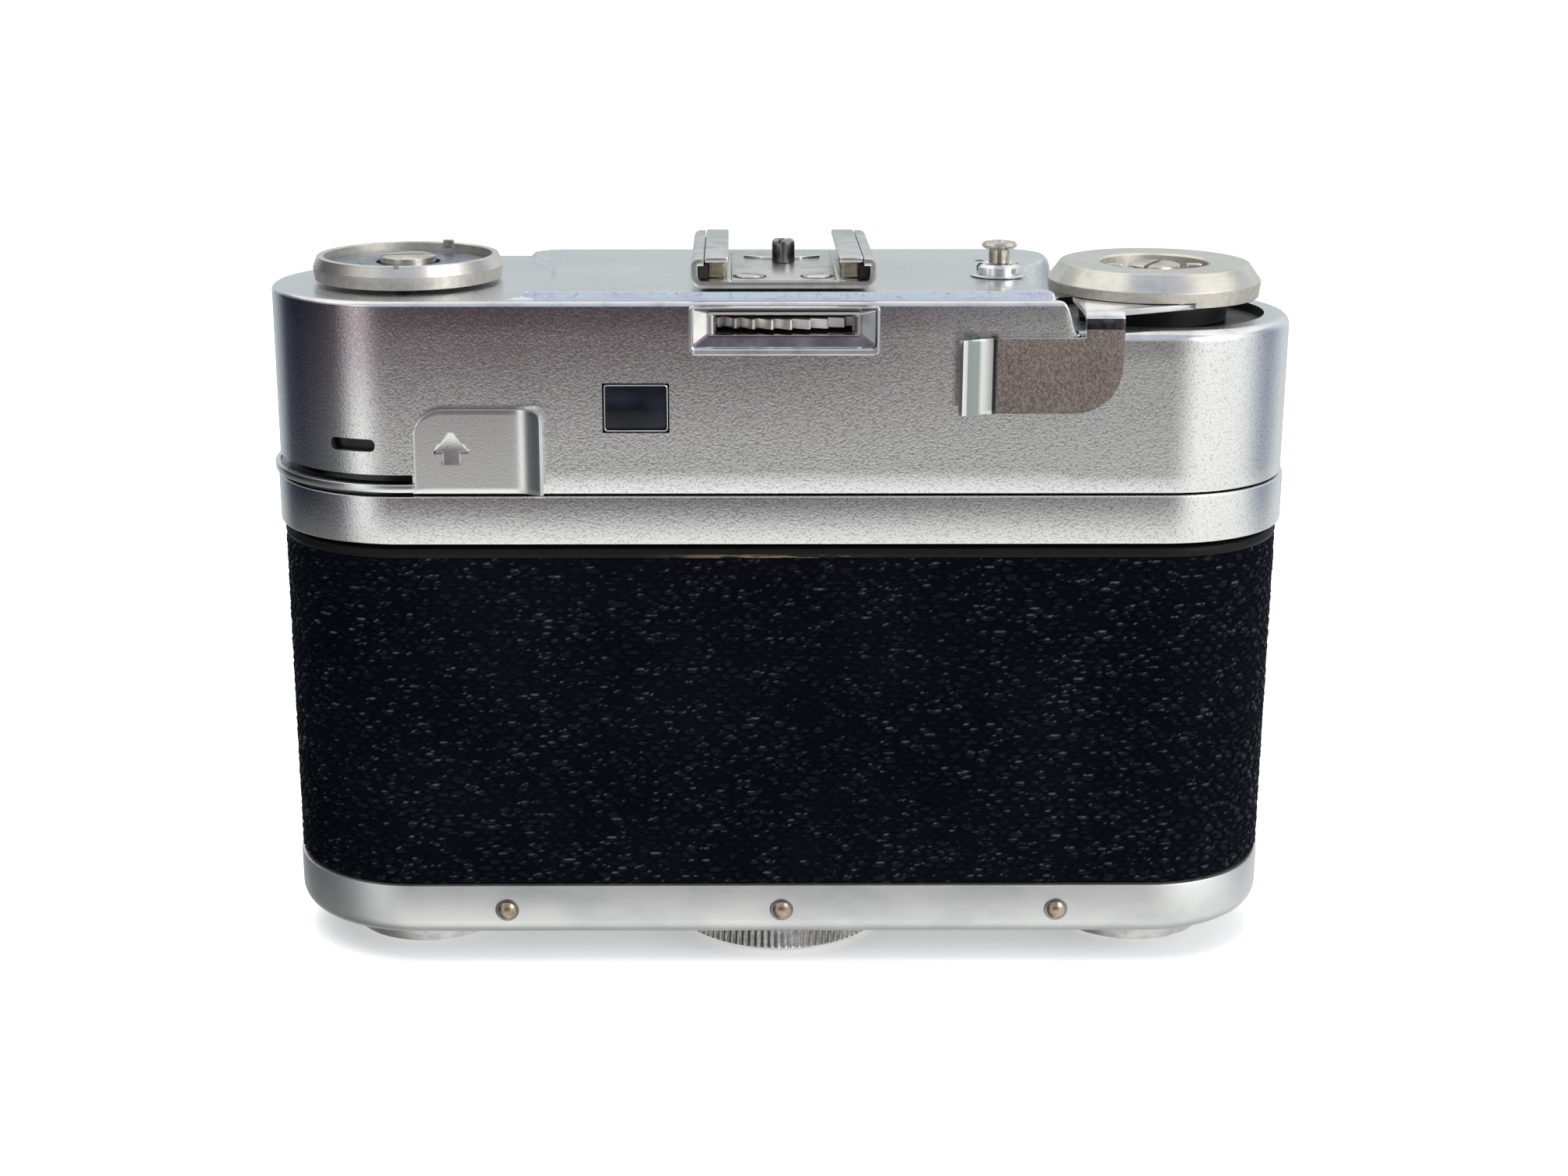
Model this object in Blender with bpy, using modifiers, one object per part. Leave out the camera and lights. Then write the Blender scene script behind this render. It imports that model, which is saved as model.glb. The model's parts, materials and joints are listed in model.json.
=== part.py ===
"""A 35 mm rangefinder camera of the 1950s pattern, modelled as separate working pieces.

Frame: +X to the right seen from behind, +Y towards the lens, +Z up. The origin lies on the plane the
camera stands on, under the middle of its whole width and depth, lens included. Sizes below are
millimetres from the lock wheel's axis, which LOCK_AXIS places in that frame, and the helpers turn
them into metres.
"""

import math

import bmesh
import bpy
from mathutils import Matrix, Vector

MM = 0.001
GAP = 0.3
LOCK_AXIS = (0.15, -11.3, 0.0)

# Body: a stadium in plan, with both round ends centred on the film spool axes.
SPOOL_X = 42.25
LEATHER_R = 15.25
HOUSING_R = 15.35
RING_R = 15.65
SHELL_R = 14.1
SHELL_INNER_R = 13.3
CHASSIS_R = 13.0
SLAB_R = 14.6
WALL = 0.8

# Heights, from the standing plane up.
BASE_LOW, BASE_TOP = 3.3, 9.7
FLOOR_TOP = 4.4
CHASSIS_LOW = 10.2
LIP_LOW, LIP_TOP = 48.95, 50.05
RING_LOW, RING_TOP = 50.35, 55.95
SLAB_TOP = 53.4
HOUSING_LOW = 56.25
SHOULDER_RIGHT = 74.0
SHOULDER_LEFT = 77.3
DECK_TOP = 78.1

# Film and lens.
LENS_Z = 30.5
FILM_Y = -10.0
CHAMBER_R = 12.75
CHAMBER_TOP = 52.2
SPROCKET = (26.6, -4.3)
SPROCKET_R = 6.05
SPROCKET_TEETH = 8

# Gears of the film advance, all of one module.
GEAR_MODULE = 0.45
WIND_TEETH, IDLER_TEETH, SPROCKET_GEAR_TEETH = 36, 14, 26
GEAR_LOW, GEAR_TOP = 54.0, 55.4

# The top housing's front panel stands forward of the round ends, over the lens.
PANEL_Y = 21.0
PANEL_ROOT_X = 38.5
PANEL_RUN = 4.5
PANEL_STEPS = 6

DECK_END, DECK_END_R = (51.5, -3.3), 23.55
DECK_CORNER, DECK_CORNER_R = (26.5, 15.6), 5.15
DECK_BACK_Y, DECK_FRONT_Y = -15.1, 20.75
RELEASE = (24.4, -2.0)
COUNTER_Y = -1.6
COUNTER_R = 15.0
COUNTER_TEETH = 46
REWIND_Z = 77.65
RIVET_X = 31.7
RIVET_Z = 6.7
TIMER = (-24.6, 22.0)
FLASH = (24.9, 20.0)

ROUND_STEPS = 32
SMALL_STEPS = 20


def clear_scene():
    for item in list(bpy.data.objects):
        bpy.data.objects.remove(item, do_unlink=True)


def new_collection(name, hidden=False):
    made = bpy.data.collections.new(name)
    made.hide_render = hidden
    bpy.context.scene.collection.children.link(made)
    return made


clear_scene()
CAMERA = new_collection("rangefinder_camera")
CUTTERS = new_collection("cutters", hidden=True)
AXES = new_collection("joint_axes")


# ---------------------------------------------------------------- materials


def material(name, colour, metallic, roughness, transmission=0.0):
    made = bpy.data.materials.new(name)
    made.use_nodes = True
    shader = made.node_tree.nodes["Principled BSDF"]
    shader.inputs["Base Color"].default_value = (*colour, 1.0)
    shader.inputs["Metallic"].default_value = metallic
    shader.inputs["Roughness"].default_value = roughness
    shader.inputs["Transmission Weight"].default_value = transmission
    made.diffuse_color = (*colour, 1.0)
    return made


def satin_chrome(name):
    return material(name, (0.62, 0.62, 0.65), 1.0, 0.34)


def polished_chrome(name):
    return material(name, (0.80, 0.80, 0.82), 1.0, 0.12)


def nickel(name):
    return material(name, (0.66, 0.63, 0.58), 1.0, 0.28)


def satin_aluminium(name):
    return material(name, (0.80, 0.81, 0.82), 1.0, 0.42)


def black_metal(name):
    return material(name, (0.02, 0.02, 0.022), 0.0, 0.5)


def leather(name):
    return material(name, (0.016, 0.018, 0.026), 0.0, 0.55)


def brass(name):
    return material(name, (0.62, 0.47, 0.24), 1.0, 0.35)


def spring_steel(name):
    return material(name, (0.45, 0.43, 0.38), 1.0, 0.35)


def clear_glass(name):
    return material(name, (0.90, 0.93, 0.95), 0.0, 0.03, 0.9)


# ---------------------------------------------------------------- modelling helpers


def place(name, mesh, look, collection=None):
    made = bpy.data.objects.new(name, mesh)
    (collection or CAMERA).objects.link(made)
    if look:
        mesh.materials.append(look(name + "_finish"))
    return made


def as_tool(item):
    """Move an object to the cutters, where it shapes others and isn't a piece itself."""
    for owner in list(item.users_collection):
        owner.objects.unlink(item)
    CUTTERS.objects.link(item)
    item.hide_render = True
    item.display_type = "WIRE"
    return item


def smooth(item, angle=35):
    item.data.shade_smooth()
    item.data.set_sharp_from_angle(angle=math.radians(angle))


def boolean(item, tool, operation, solver="EXACT"):
    step = item.modifiers.new(operation.lower() + "_" + tool.name, "BOOLEAN")
    step.operation = operation
    step.solver = solver
    step.object = as_tool(tool)


def cut(item, *tools, solver="EXACT"):
    for tool in tools:
        boolean(item, tool, "DIFFERENCE", solver)
    return item


def join(item, *tools, solver="EXACT"):
    for tool in tools:
        boolean(item, tool, "UNION", solver)
    return item


def block(name, low, high, look=None, turn=None, bevel=0.0):
    """A box between two corners, optionally turned about its centre with a matrix."""
    mesh = bpy.data.meshes.new(name)
    low, high = Vector(low) * MM, Vector(high) * MM
    size = high - low
    centre = (high + low) / 2
    body = bmesh.new()
    shape = Matrix.Translation(centre) @ (turn or Matrix.Identity(4))
    bmesh.ops.create_cube(body, size=1.0, matrix=shape @ Matrix.Diagonal((*size, 1.0)))
    body.to_mesh(mesh)
    body.free()
    made = place(name, mesh, look)
    if bevel:
        soften(made, bevel)
    return made


def soften(item, width, segments=1):
    step = item.modifiers.new("edges", "BEVEL")
    step.width = width * MM
    step.segments = segments
    step.limit_method = "ANGLE"
    step.angle_limit = math.radians(40)


def turned(name, profile, centre=(0, 0, 0), look=None, steps=ROUND_STEPS, facing="Z", ring=False):
    """A lathe shape. The profile is (radius, height) pairs running down the outer side."""
    mesh = bpy.data.meshes.new(name)
    points = [(radius * MM, 0.0, height * MM) for radius, height in profile]
    edges = [(i, i + 1) for i in range(len(points) - 1)]
    if ring:
        edges.append((len(points) - 1, 0))
    mesh.from_pydata(points, edges, [])
    made = place(name, mesh, look)
    made.location = Vector(centre) * MM
    if facing == "Y":
        made.rotation_euler = (-math.pi / 2, 0.0, 0.0)
    spin = made.modifiers.new("turn", "SCREW")
    spin.angle = math.tau
    spin.steps = spin.render_steps = steps
    spin.use_merge_vertices = True
    spin.merge_threshold = 1e-6
    spin.use_smooth_shade = True
    return made


def disc(name, radius, low, high, centre=(0, 0), look=None, steps=ROUND_STEPS, facing="Z", hole=0.0):
    """A plain round plate or ring. For facing Z, centre is (x, y); for facing Y it is (x, z)."""
    where = (centre[0], centre[1], 0) if facing == "Z" else (centre[0], 0, centre[1])
    if hole:
        profile = [(hole, high), (radius, high), (radius, low), (hole, low)]
        return turned(name, profile, where, look, steps, facing, ring=True)
    profile = [(0, high), (radius, high), (radius, low), (0, low)]
    return turned(name, profile, where, look, steps, facing)


TURNS = {
    "Z": Matrix.Identity(4),
    "Y": Matrix.Rotation(math.pi / 2, 4, "X"),
    "X": Matrix(((0, 0, 1, 0), (1, 0, 0, 0), (0, 1, 0, 0), (0, 0, 0, 1))),
}


def plate(name, loops, low, high, look=None, facing="Z", origin=(0, 0, 0)):
    """A flat outline, given thickness. Loops are (x, y), (x, z) or (y, z) for facing Z, Y or X."""
    curve = bpy.data.curves.new(name, "CURVE")
    curve.dimensions = "2D"
    curve.fill_mode = "BOTH"
    curve.extrude = (high - low) / 2 * MM
    for loop in loops:
        spline = curve.splines.new("POLY")
        spline.points.add(len(loop) - 1)
        for point, (u, v) in zip(spline.points, loop):
            point.co = (u * MM, v * MM, 0.0, 1.0)
        spline.use_cyclic_u = True
    guide = bpy.data.objects.new(name + "_outline", curve)
    CUTTERS.objects.link(guide)
    bpy.context.view_layer.update()
    graph = bpy.context.evaluated_depsgraph_get()
    mesh = bpy.data.meshes.new_from_object(guide.evaluated_get(graph))
    bpy.data.objects.remove(guide, do_unlink=True)
    middle = (high + low) / 2 * MM
    if facing == "Y":
        middle = -middle
    origin = Vector(origin) * MM
    body = bmesh.new()
    body.from_mesh(mesh)
    shift = Matrix.Translation(-origin) @ TURNS[facing] @ Matrix.Translation((0, 0, middle))
    bmesh.ops.transform(body, matrix=shift, verts=body.verts)
    bmesh.ops.remove_doubles(body, verts=body.verts, dist=1e-6)
    bmesh.ops.recalc_face_normals(body, faces=body.faces)
    body.to_mesh(mesh)
    body.free()
    mesh.name = name
    made = place(name, mesh, look)
    made.location = origin
    return made


def arc(centre, radius, start, end, count):
    """Points on an arc, from start to end in degrees, both included."""
    found = []
    for i in range(count + 1):
        angle = math.radians(start + (end - start) * i / count)
        found.append((centre[0] + radius * math.cos(angle), centre[1] + radius * math.sin(angle)))
    return found


def stadium(radius, count=16, half=SPOOL_X):
    return arc((half, 0), radius, -90, 90, count) + arc((-half, 0), radius, 90, 270, count)


def hinge_axis(name, centre, *items):
    """An empty on a joint's axis that carries the pieces turning about it."""
    empty = bpy.data.objects.new(name + "_axis", None)
    AXES.objects.link(empty)
    empty.location = Vector(centre) * MM
    bpy.context.view_layer.update()
    for item in items:
        item.parent = empty
        item.matrix_parent_inverse = empty.matrix_world.inverted()


def sector(centre, inner, outer, start, end, count):
    return arc(centre, outer, start, end, count) + arc(centre, inner, end, start, count)


def gear_outline(centre, teeth, phase, module=GEAR_MODULE):
    """Straight-flanked teeth with backlash, one of them centred on the phase angle."""
    tip = module * teeth / 2 + 0.7 * module
    root = module * teeth / 2 - 1.1 * module
    pitch = math.tau / teeth
    found = []
    for i in range(teeth):
        middle = phase + i * pitch
        for radius, share in ((root, -0.28), (tip, -0.12), (tip, 0.12), (root, 0.28)):
            angle = middle + share * pitch
            found.append((centre[0] + radius * math.cos(angle), centre[1] + radius * math.sin(angle)))
    return found


def meshed_phase(phase, teeth, direction, other_teeth):
    """The phase of a gear in mesh with another that lies in this direction from the first."""
    share = ((direction - phase) / (math.tau / teeth)) % 1.0
    return direction + math.pi + (share - 0.5) * math.tau / other_teeth


def idler_centre():
    """Where both gear centre distances are met, on the lens side of the line of shafts."""
    first, second = Vector((SPOOL_X, 0.0)), Vector(SPROCKET)
    reach = GEAR_MODULE * (WIND_TEETH + IDLER_TEETH) / 2
    other = GEAR_MODULE * (IDLER_TEETH + SPROCKET_GEAR_TEETH) / 2
    span = (second - first).length
    along = (reach**2 - other**2 + span**2) / (2 * span)
    across = math.sqrt(reach**2 - along**2)
    line = (second - first).normalized()
    side = Vector((line.y, -line.x))
    return first + line * along + side * across


# ---------------------------------------------------------------- body


def make_chassis():
    body = block("chassis", (-29.2, FILM_Y, CHASSIS_LOW), (18.9, 10.6, 50.5), black_metal)
    panel = block("front_panel", (-39.3, 10.0, CHASSIS_LOW + 0.05), (39.3, 14.3, 50.1))
    foot = [(21.8, -12.0), *arc((SPOOL_X, 0), CHASSIS_R, -90, 90, 12), (21.8, CHASSIS_R)]
    floor = plate("spool_floor", [foot], CHASSIS_LOW + 0.1, 11.5)
    web = plate("top_web", [stadium(CHASSIS_R)], 48.8, 50.6)
    slab = plate("upper_slab", [stadium(SLAB_R)], 50.35, SLAB_TOP)
    bores = [disc("cassette_bore", CHAMBER_R, 5, CHAMBER_TOP, (-SPOOL_X, 0))]
    bores.append(disc("spool_bore", CHAMBER_R - 0.2, 11.3, 48.9, (SPOOL_X, 0), steps=24))
    bores.append(disc("sprocket_bore", 7.7, 11.7, 48.7, SPROCKET, steps=SMALL_STEPS))
    bores.append(block("tunnel", (-18, -20, LENS_Z - 12), (18, 8, LENS_Z + 12)))
    bores.append(disc("lens_bore", 14.0, 5, 20, (0, LENS_Z), facing="Y", steps=24))
    bores.append(disc("rewind_bore", 1.9, 50, 60, (-SPOOL_X, 0), steps=12))
    bores.append(disc("spool_pivot_bore", 2.6, 47.5, 60, (SPOOL_X, 0), steps=16))
    bores.append(disc("sprocket_pivot_bore", 1.9, 47.0, 61, SPROCKET, steps=14))
    join(body, panel, floor, web, slab, solver="MANIFOLD")
    cut(body, *bores, solver="MANIFOLD")
    return body


def make_top_ring():
    return plate("top_ring", [stadium(RING_R), stadium(RING_R - 0.75)], RING_LOW, RING_TOP, satin_chrome)


def deck_left_edge():
    """The deck's left end, a shallow arc from the back to the lens side."""
    return [(-26.2 - 0.0121 * y * y, y) for y in (-12.6, -9, -4.5, 0, 4.5, 9, 13.4, 17.5)]


def housing_outline(inset=0.0):
    """The stadium with the front panel standing out of it along two soft steps."""
    radius, front = HOUSING_R - inset, PANEL_Y - inset
    step = []
    for i in range(PANEL_STEPS + 1):
        share = i / PANEL_STEPS
        rise = (1 - math.cos(math.pi * share)) / 2
        step.append((PANEL_ROOT_X - inset - PANEL_RUN * share, radius + (front - radius) * rise))
    right = arc((SPOOL_X, 0), radius, -90, 90, 16)
    left = arc((-SPOOL_X, 0), radius, 90, 270, 16)
    return right + step + [(-x, y) for x, y in reversed(step)] + left


def make_top_housing():
    body = plate("top_housing", [housing_outline()], HOUSING_LOW, SHOULDER_LEFT, satin_chrome)
    deck = [(-28.2, DECK_BACK_Y), *deck_left_edge(), (-29.0, DECK_FRONT_Y)]
    deck += [(33.0, DECK_FRONT_Y), (38.0, 0.0), (38.0, DECK_BACK_Y)]
    join(body, plate("deck", [deck], SHOULDER_LEFT - 0.5, DECK_TOP), solver="MANIFOLD")
    holes = []
    right = [*arc(DECK_END, DECK_END_R, 218.6, 147.4, 10), *arc(DECK_CORNER, DECK_CORNER_R, 0, 90, 8)]
    right += [(DECK_CORNER[0], 30.0), (70, 30.0), (70, -18.0)]
    holes.append(plate("right_shoulder", [right], SHOULDER_RIGHT, 90))
    holes.append(plate("hollow", [stadium(HOUSING_R - WALL)], 50, SHOULDER_RIGHT - WALL))
    holes.append(plate("panel_hollow", [housing_outline(WALL)], HOUSING_LOW + WALL, SHOULDER_RIGHT - WALL))
    upper = [(27.6, -13.4), (27.2, 0), (27.6, 13.4), (25.5, 19.8), (-33.5, 19.8), (-37.0, 15.0)]
    upper += arc((-SPOOL_X, 0), 13.4, 90, 270, 12)
    holes.append(plate("upper_hollow", [upper], SHOULDER_RIGHT - 1.5, SHOULDER_LEFT - WALL))
    holes.append(block("eyepiece_hole", (-19.4, -17, 63.3), (-12.8, -12, 68.1)))
    holes.append(block("counter_slot", (-9.2, -17, 73.8), (9.2, -12, 76.1)))
    holes.append(block("counter_window", (-3.2, 13, 73.8), (3.2, 23, 76.1)))
    holes.append(block("finder_hole", (-22.5, 17, 61.0), (-9.5, 23, 70.5)))
    holes.append(block("range_hole", (12.5, 17, 62.8), (18.5, 23, 68.8)))
    slot_turn = Matrix.Rotation(math.radians(-19), 4, "Z")
    holes.append(block("end_slot", (-49.85, -18, 61.0), (-44.55, -11, 62.5), turn=slot_turn))
    holes.append(block("release_lever_slot", (-60, -20, 50), (-40.4, 14.2, 58.35)))
    holes.append(disc("rewind_hole", 2.2, 70, 90, (-SPOOL_X, 0), steps=16))
    holes.append(disc("advance_hole", 3.4, 70, 90, (SPOOL_X, 0), steps=16))
    holes.append(disc("release_hole", 1.7, 70, 90, RELEASE, steps=16))
    cut(body, *holes, solver="MANIFOLD")
    return body


def make_front_leathers():
    edge = math.degrees(math.asin((LENS_Z - CHASSIS_LOW) / 21.0))
    top = math.degrees(math.asin((LIP_TOP - LENS_Z) / 21.0))
    right = [(39.3, CHASSIS_LOW), (39.3, LIP_TOP), *arc((0, LENS_Z), 21.0, top, -edge, 16)]
    left = [(-x, z) for x, z in right]
    for name, outline in (("front_leather_left", left), ("front_leather_right", right)):
        plate(name, [outline], 14.6, LEATHER_R, leather, facing="Y")


# ---------------------------------------------------------------- back and base


def wrap(radius_out, radius_in, reach=39.7):
    """A band round the back and both ends, open on the lens side."""
    outer = arc((SPOOL_X, 0), radius_out, 90, -90, 16) + arc((-SPOOL_X, 0), radius_out, 270, 90, 16)
    inner = arc((-SPOOL_X, 0), radius_in, 90, 270, 16) + arc((SPOOL_X, 0), radius_in, -90, 90, 16)
    ends = [(-reach, radius_out), (-reach, radius_in)], [(reach, radius_in), (reach, radius_out)]
    return outer + ends[0] + inner + ends[1]


def rivet_bores():
    found = []
    for x in (-RIVET_X, 0.0, RIVET_X):
        found.append(disc("rivet_bore", 0.95, -20, -10, (x, RIVET_Z), facing="Y", steps=10))
    return found


def make_back():
    shell = plate("back_shell", [wrap(SHELL_R, SHELL_INNER_R)], 4.8, LIP_TOP, black_metal)
    join(shell, plate("lip", [wrap(15.1, SHELL_R - 0.4, 40.1)], LIP_LOW, LIP_TOP - 0.1))
    cut(shell, *rivet_bores())
    plate("back_leather", [wrap(LEATHER_R, 14.4)], BASE_TOP + GAP, LIP_LOW - GAP, leather)
    tray = plate("base_plate", [stadium(HOUSING_R)], BASE_LOW, BASE_TOP, satin_aluminium)
    cut(tray, plate("tray_hollow", [stadium(14.4)], FLOOR_TOP, 20))
    cut(tray, disc("lock_hole", 6.2, 0, 20, steps=SMALL_STEPS), *rivet_bores())
    for side, x in (("left", -RIVET_X), ("centre", 0.0), ("right", RIVET_X)):
        profile = [(0, -13.0), (0.6, -13.0), (0.6, -15.65), (1.05, -15.65), (0.85, -15.95), (0, -16.05)]
        turned("base_rivet_" + side, profile, (x, 0, RIVET_Z), nickel, 10, "Y")


def make_feet():
    for side, x in (("left", -SPOOL_X), ("right", SPOOL_X)):
        profile = [(0, 3.0), (10.0, 3.0), (9.6, 0.6), (9.0, 0), (0, 0)]
        turned("foot_" + side, profile, (x, 0, 0), satin_aluminium, ROUND_STEPS)


def make_lock():
    profile = [(4.7, 6.4), (5.8, 6.4), (5.8, 3.0), (11.9, 3.0), (12.4, 2.5), (12.4, 0.5), (11.9, 0), (4.7, 0)]
    turned("lock_wheel", profile, look=satin_chrome, ring=True)
    lobes = arc((0, 0), 11.0, -16, 16, 4) + arc((0, 0), 7.4, 30, 150, 6)
    lobes += arc((0, 0), 11.0, 164, 196, 4) + arc((0, 0), 7.4, 210, 330, 6)
    plate("lock_cam", [lobes, arc((0, 0), 6.1, 0, 342, 19)], 4.8, 6.0, spring_steel)
    disc("tripod_bush", 4.3, 0.3, 6.4, look=brass, hole=3.175, steps=SMALL_STEPS)


def make_pressure_parts():
    block("pressure_plate", (-21, -11.4, 14), (21, -10.4, 47), black_metal, bevel=0.3)
    bow = [(-12.6 - 0.35 * math.cos(math.pi * t / 6), LENS_Z - 9 + 3 * t) for t in range(7)]
    strip = [(y, z) for y, z in bow] + [(y + 0.3, z) for y, z in reversed(bow)]
    plate("pressure_spring", [strip], -11, 11, spring_steel, facing="X")


# ---------------------------------------------------------------- film transport


def make_gears():
    wind = (SPOOL_X, 0.0)
    idler = tuple(idler_centre())
    towards = math.atan2(idler[1] - wind[1], idler[0] - wind[0])
    onwards = math.atan2(SPROCKET[1] - idler[1], SPROCKET[0] - idler[0])
    idler_phase = meshed_phase(towards, WIND_TEETH, towards, IDLER_TEETH)
    last_phase = meshed_phase(idler_phase, IDLER_TEETH, onwards, SPROCKET_GEAR_TEETH)

    first = plate("wind_gear", [gear_outline(wind, WIND_TEETH, towards)], GEAR_LOW, GEAR_TOP, brass)
    join(first, disc("wind_shaft", 2.8, GEAR_LOW + 0.2, 77.5, wind, steps=16))
    second = plate("idler_gear", [gear_outline(idler, IDLER_TEETH, idler_phase)], GEAR_LOW, GEAR_TOP, brass)
    join(second, disc("idler_stub", 1.4, GEAR_LOW + 0.2, 56.4, idler, steps=12))
    last = gear_outline(SPROCKET, SPROCKET_GEAR_TEETH, last_phase)
    third = plate("sprocket_gear", [last], GEAR_LOW, GEAR_TOP, brass)
    join(third, disc("gear_stub", 2.0, GEAR_LOW + 0.2, 57.4, SPROCKET, steps=12))
    hinge_axis("wind_gear", (*wind, 0), first)
    hinge_axis("idler_gear", (*idler, 0), second)
    hinge_axis("sprocket_gear", (*SPROCKET, 0), third)


def make_sprocket():
    body = disc("sprocket", 5.2, 12.0, 48.4, SPROCKET, nickel, steps=24)
    teeth = []
    for i in range(SPROCKET_TEETH):
        middle = i * math.tau / SPROCKET_TEETH
        for radius, shift in ((SPROCKET_R, -0.2), (7.1, -0.09), (7.1, 0.09), (SPROCKET_R, 0.2)):
            angle = middle + shift
            teeth.append((radius * math.cos(angle), radius * math.sin(angle)))
    wheel = [(SPROCKET[0] + x, SPROCKET[1] + y) for x, y in teeth]
    for side, z in (("low", LENS_Z - 14.1), ("high", LENS_Z + 14.1)):
        join(body, plate("sprocket_wheel_" + side, [wheel], z - 0.7, z + 0.7))
    join(body, disc("sprocket_pin", 1.5, 48.0, 53.6, SPROCKET, steps=12))
    return body


def make_take_up_spool():
    profile = [(0, 53.6), (2.2, 53.6), (2.2, 48.4), (8.6, 48.4), (8.6, 47.4), (5.6, 47.2)]
    profile += [(5.6, 13.8), (8.6, 13.6), (8.6, 12.6), (2.0, 12.6), (2.0, 11.8), (0, 11.8)]
    body = turned("take_up_spool", profile, (SPOOL_X, 0, 0), black_metal, 24)
    cut(body, block("film_slot", (SPOOL_X - 0.6, -9, 22), (SPOOL_X + 0.6, 0.5, 39)))
    return body


# ---------------------------------------------------------------- rewind side


def make_rewind():
    x = -SPOOL_X
    profile = [(1.9, 78.9), (9.45, 78.9), (9.45, 80.4), (10.2, 80.4), (10.7, 79.2), (10.5, REWIND_Z), (1.9, REWIND_Z)]
    turned("rewind_knob", profile, (x, 0, 0), nickel, 40, ring=True)
    disc("film_reminder_disc", 8.8, 79.2, 79.6, (x, 0), satin_aluminium, hole=3.6)
    hub = turned("rewind_hub", [(0, 80.3), (2.9, 80.3), (3.2, 80.0), (3.2, 79.2), (0, 79.2)], (x, 0, 0), nickel, 20)
    cut(hub, block("hub_slot", (x - 4, -0.35, 79.8), (x + 4, 0.35, 82)))
    shaft = disc("rewind_shaft", 1.5, 49.0, 78.8, (x, 0), nickel, steps=14)
    join(shaft, block("fork", (x - 2.5, -0.6, 46.6), (x + 2.5, 0.6, 50.0)))
    block("rewind_tab", (x + 3.1, 7.0, 79.9), (x + 4.5, 7.5, 81.0), nickel)


def make_rewind_release_lever():
    """A band in the housing's slot turns about the rewind axis and carries a plate on the back."""
    x = -SPOOL_X
    band = sector((x, 0), 13.6, 15.95, 150, 272, 16)
    body = plate("rewind_release_lever", [band], 56.3, 57.3, satin_chrome, origin=(x, 0, 0))
    spoke = sector((x, 0), 3.0, 14.0, 196, 224, 3)
    join(body, plate("lever_spoke", [spoke], 56.35, 57.25))
    join(body, disc("lever_hub", 4.4, 56.4, 57.2, (x, 0), steps=16))
    face = [(-42.6, 56.4), (-26.3, 56.4), (-26.3, 65.8), *arc((-36.6, 61.8), 4.0, 90, 180, 5), (-40.6, 57.2), (-42.6, 57.2)]
    join(body, plate("lever_plate", [face], -16.3, -15.7, facing="Y"))
    join(body, block("lever_curl", (-28.9, -17.6, 56.6), (-26.35, -16.0, 65.6), bevel=0.4))
    cut(body, disc("lever_bore", 1.9, 50, 60, (x, 0), steps=14))
    return body


# ---------------------------------------------------------------- advance side


def make_advance():
    x = SPOOL_X
    knob = [(3.4, 77.7), (6.2, 77.7), (6.2, 79.5), (10.6, 79.5), (12.0, 77.6), (11.8, 76.4), (3.4, 76.4)]
    turned("advance_knob", knob, (x, 0, 0), nickel, 40, ring=True)
    disc("advance_washer", 11.3, 75.85, 76.1, (x, 0), satin_chrome, hole=3.4)
    screw = turned("advance_screw", [(0, 79.3), (2.7, 79.3), (3.0, 79.0), (3.0, 78.0), (0, 78.0)], (x, 0, 0), nickel, 20)
    join(screw, block("prongs", (x - 5.4, -0.55, 78.1), (x + 5.4, 0.55, 78.9)))
    cut(screw, block("screw_slot", (x - 1.8, -0.3, 78.95), (x + 1.8, 0.3, 80)))


def make_advance_lever():
    """A flat arm under the knob that bends down over the back edge into a thumb plate."""
    x = SPOOL_X
    arm = arc((x, 0), 11.2, -118, 200, 24) + [(31.6, -12.0), (32.3, -16.6), (36.7, -16.6), (37.6, -13.0)]
    hole = arc((x, 0), 3.4, 0, 345, 23)
    body = plate("advance_lever", [arm, hole], 74.6, 75.6, satin_chrome, origin=(x, 0, 0))
    face = [(19.2, 64.9), *arc((32.2, 69.9), 5.0, -90, 0, 5), (37.2, 73.3), (36.7, 73.3), (36.7, 75.5)]
    face += [(32.3, 75.5), (32.3, 73.3), (19.2, 73.3)]
    join(body, plate("thumb_plate", [face], -16.7, -15.8, facing="Y"))
    join(body, block("thumb_curl", (19.1, -18.0, 65.1), (22.4, -16.0, 73.1), bevel=0.5))
    return body


# ---------------------------------------------------------------- top deck


def make_release():
    profile = [(0, 82.0), (1.2, 81.9), (1.8, 81.6), (2.0, 81.3), (2.0, 80.9), (1.2, 80.9)]
    profile += [(1.2, 75.6), (1.9, 75.6), (1.9, 75.0), (1.2, 75.0), (1.2, 70.0), (0, 70.0)]
    turned("release_button", profile, (*RELEASE, 0), nickel, SMALL_STEPS)
    collar = [(1.6, 79.6), (2.2, 79.6), (2.5, 79.3), (2.5, DECK_TOP + GAP), (1.6, DECK_TOP + GAP)]
    body = turned("release_collar", collar, (*RELEASE, 0), satin_chrome, SMALL_STEPS, ring=True)
    x, y = RELEASE
    for side, shift in (("left", -2.4), ("right", 2.4)):
        notch = (x + shift - 0.5, y - 0.45, 78.9), (x + shift + 0.5, y + 0.45, 80)
        cut(body, block("collar_notch_" + side, *notch))


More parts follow.
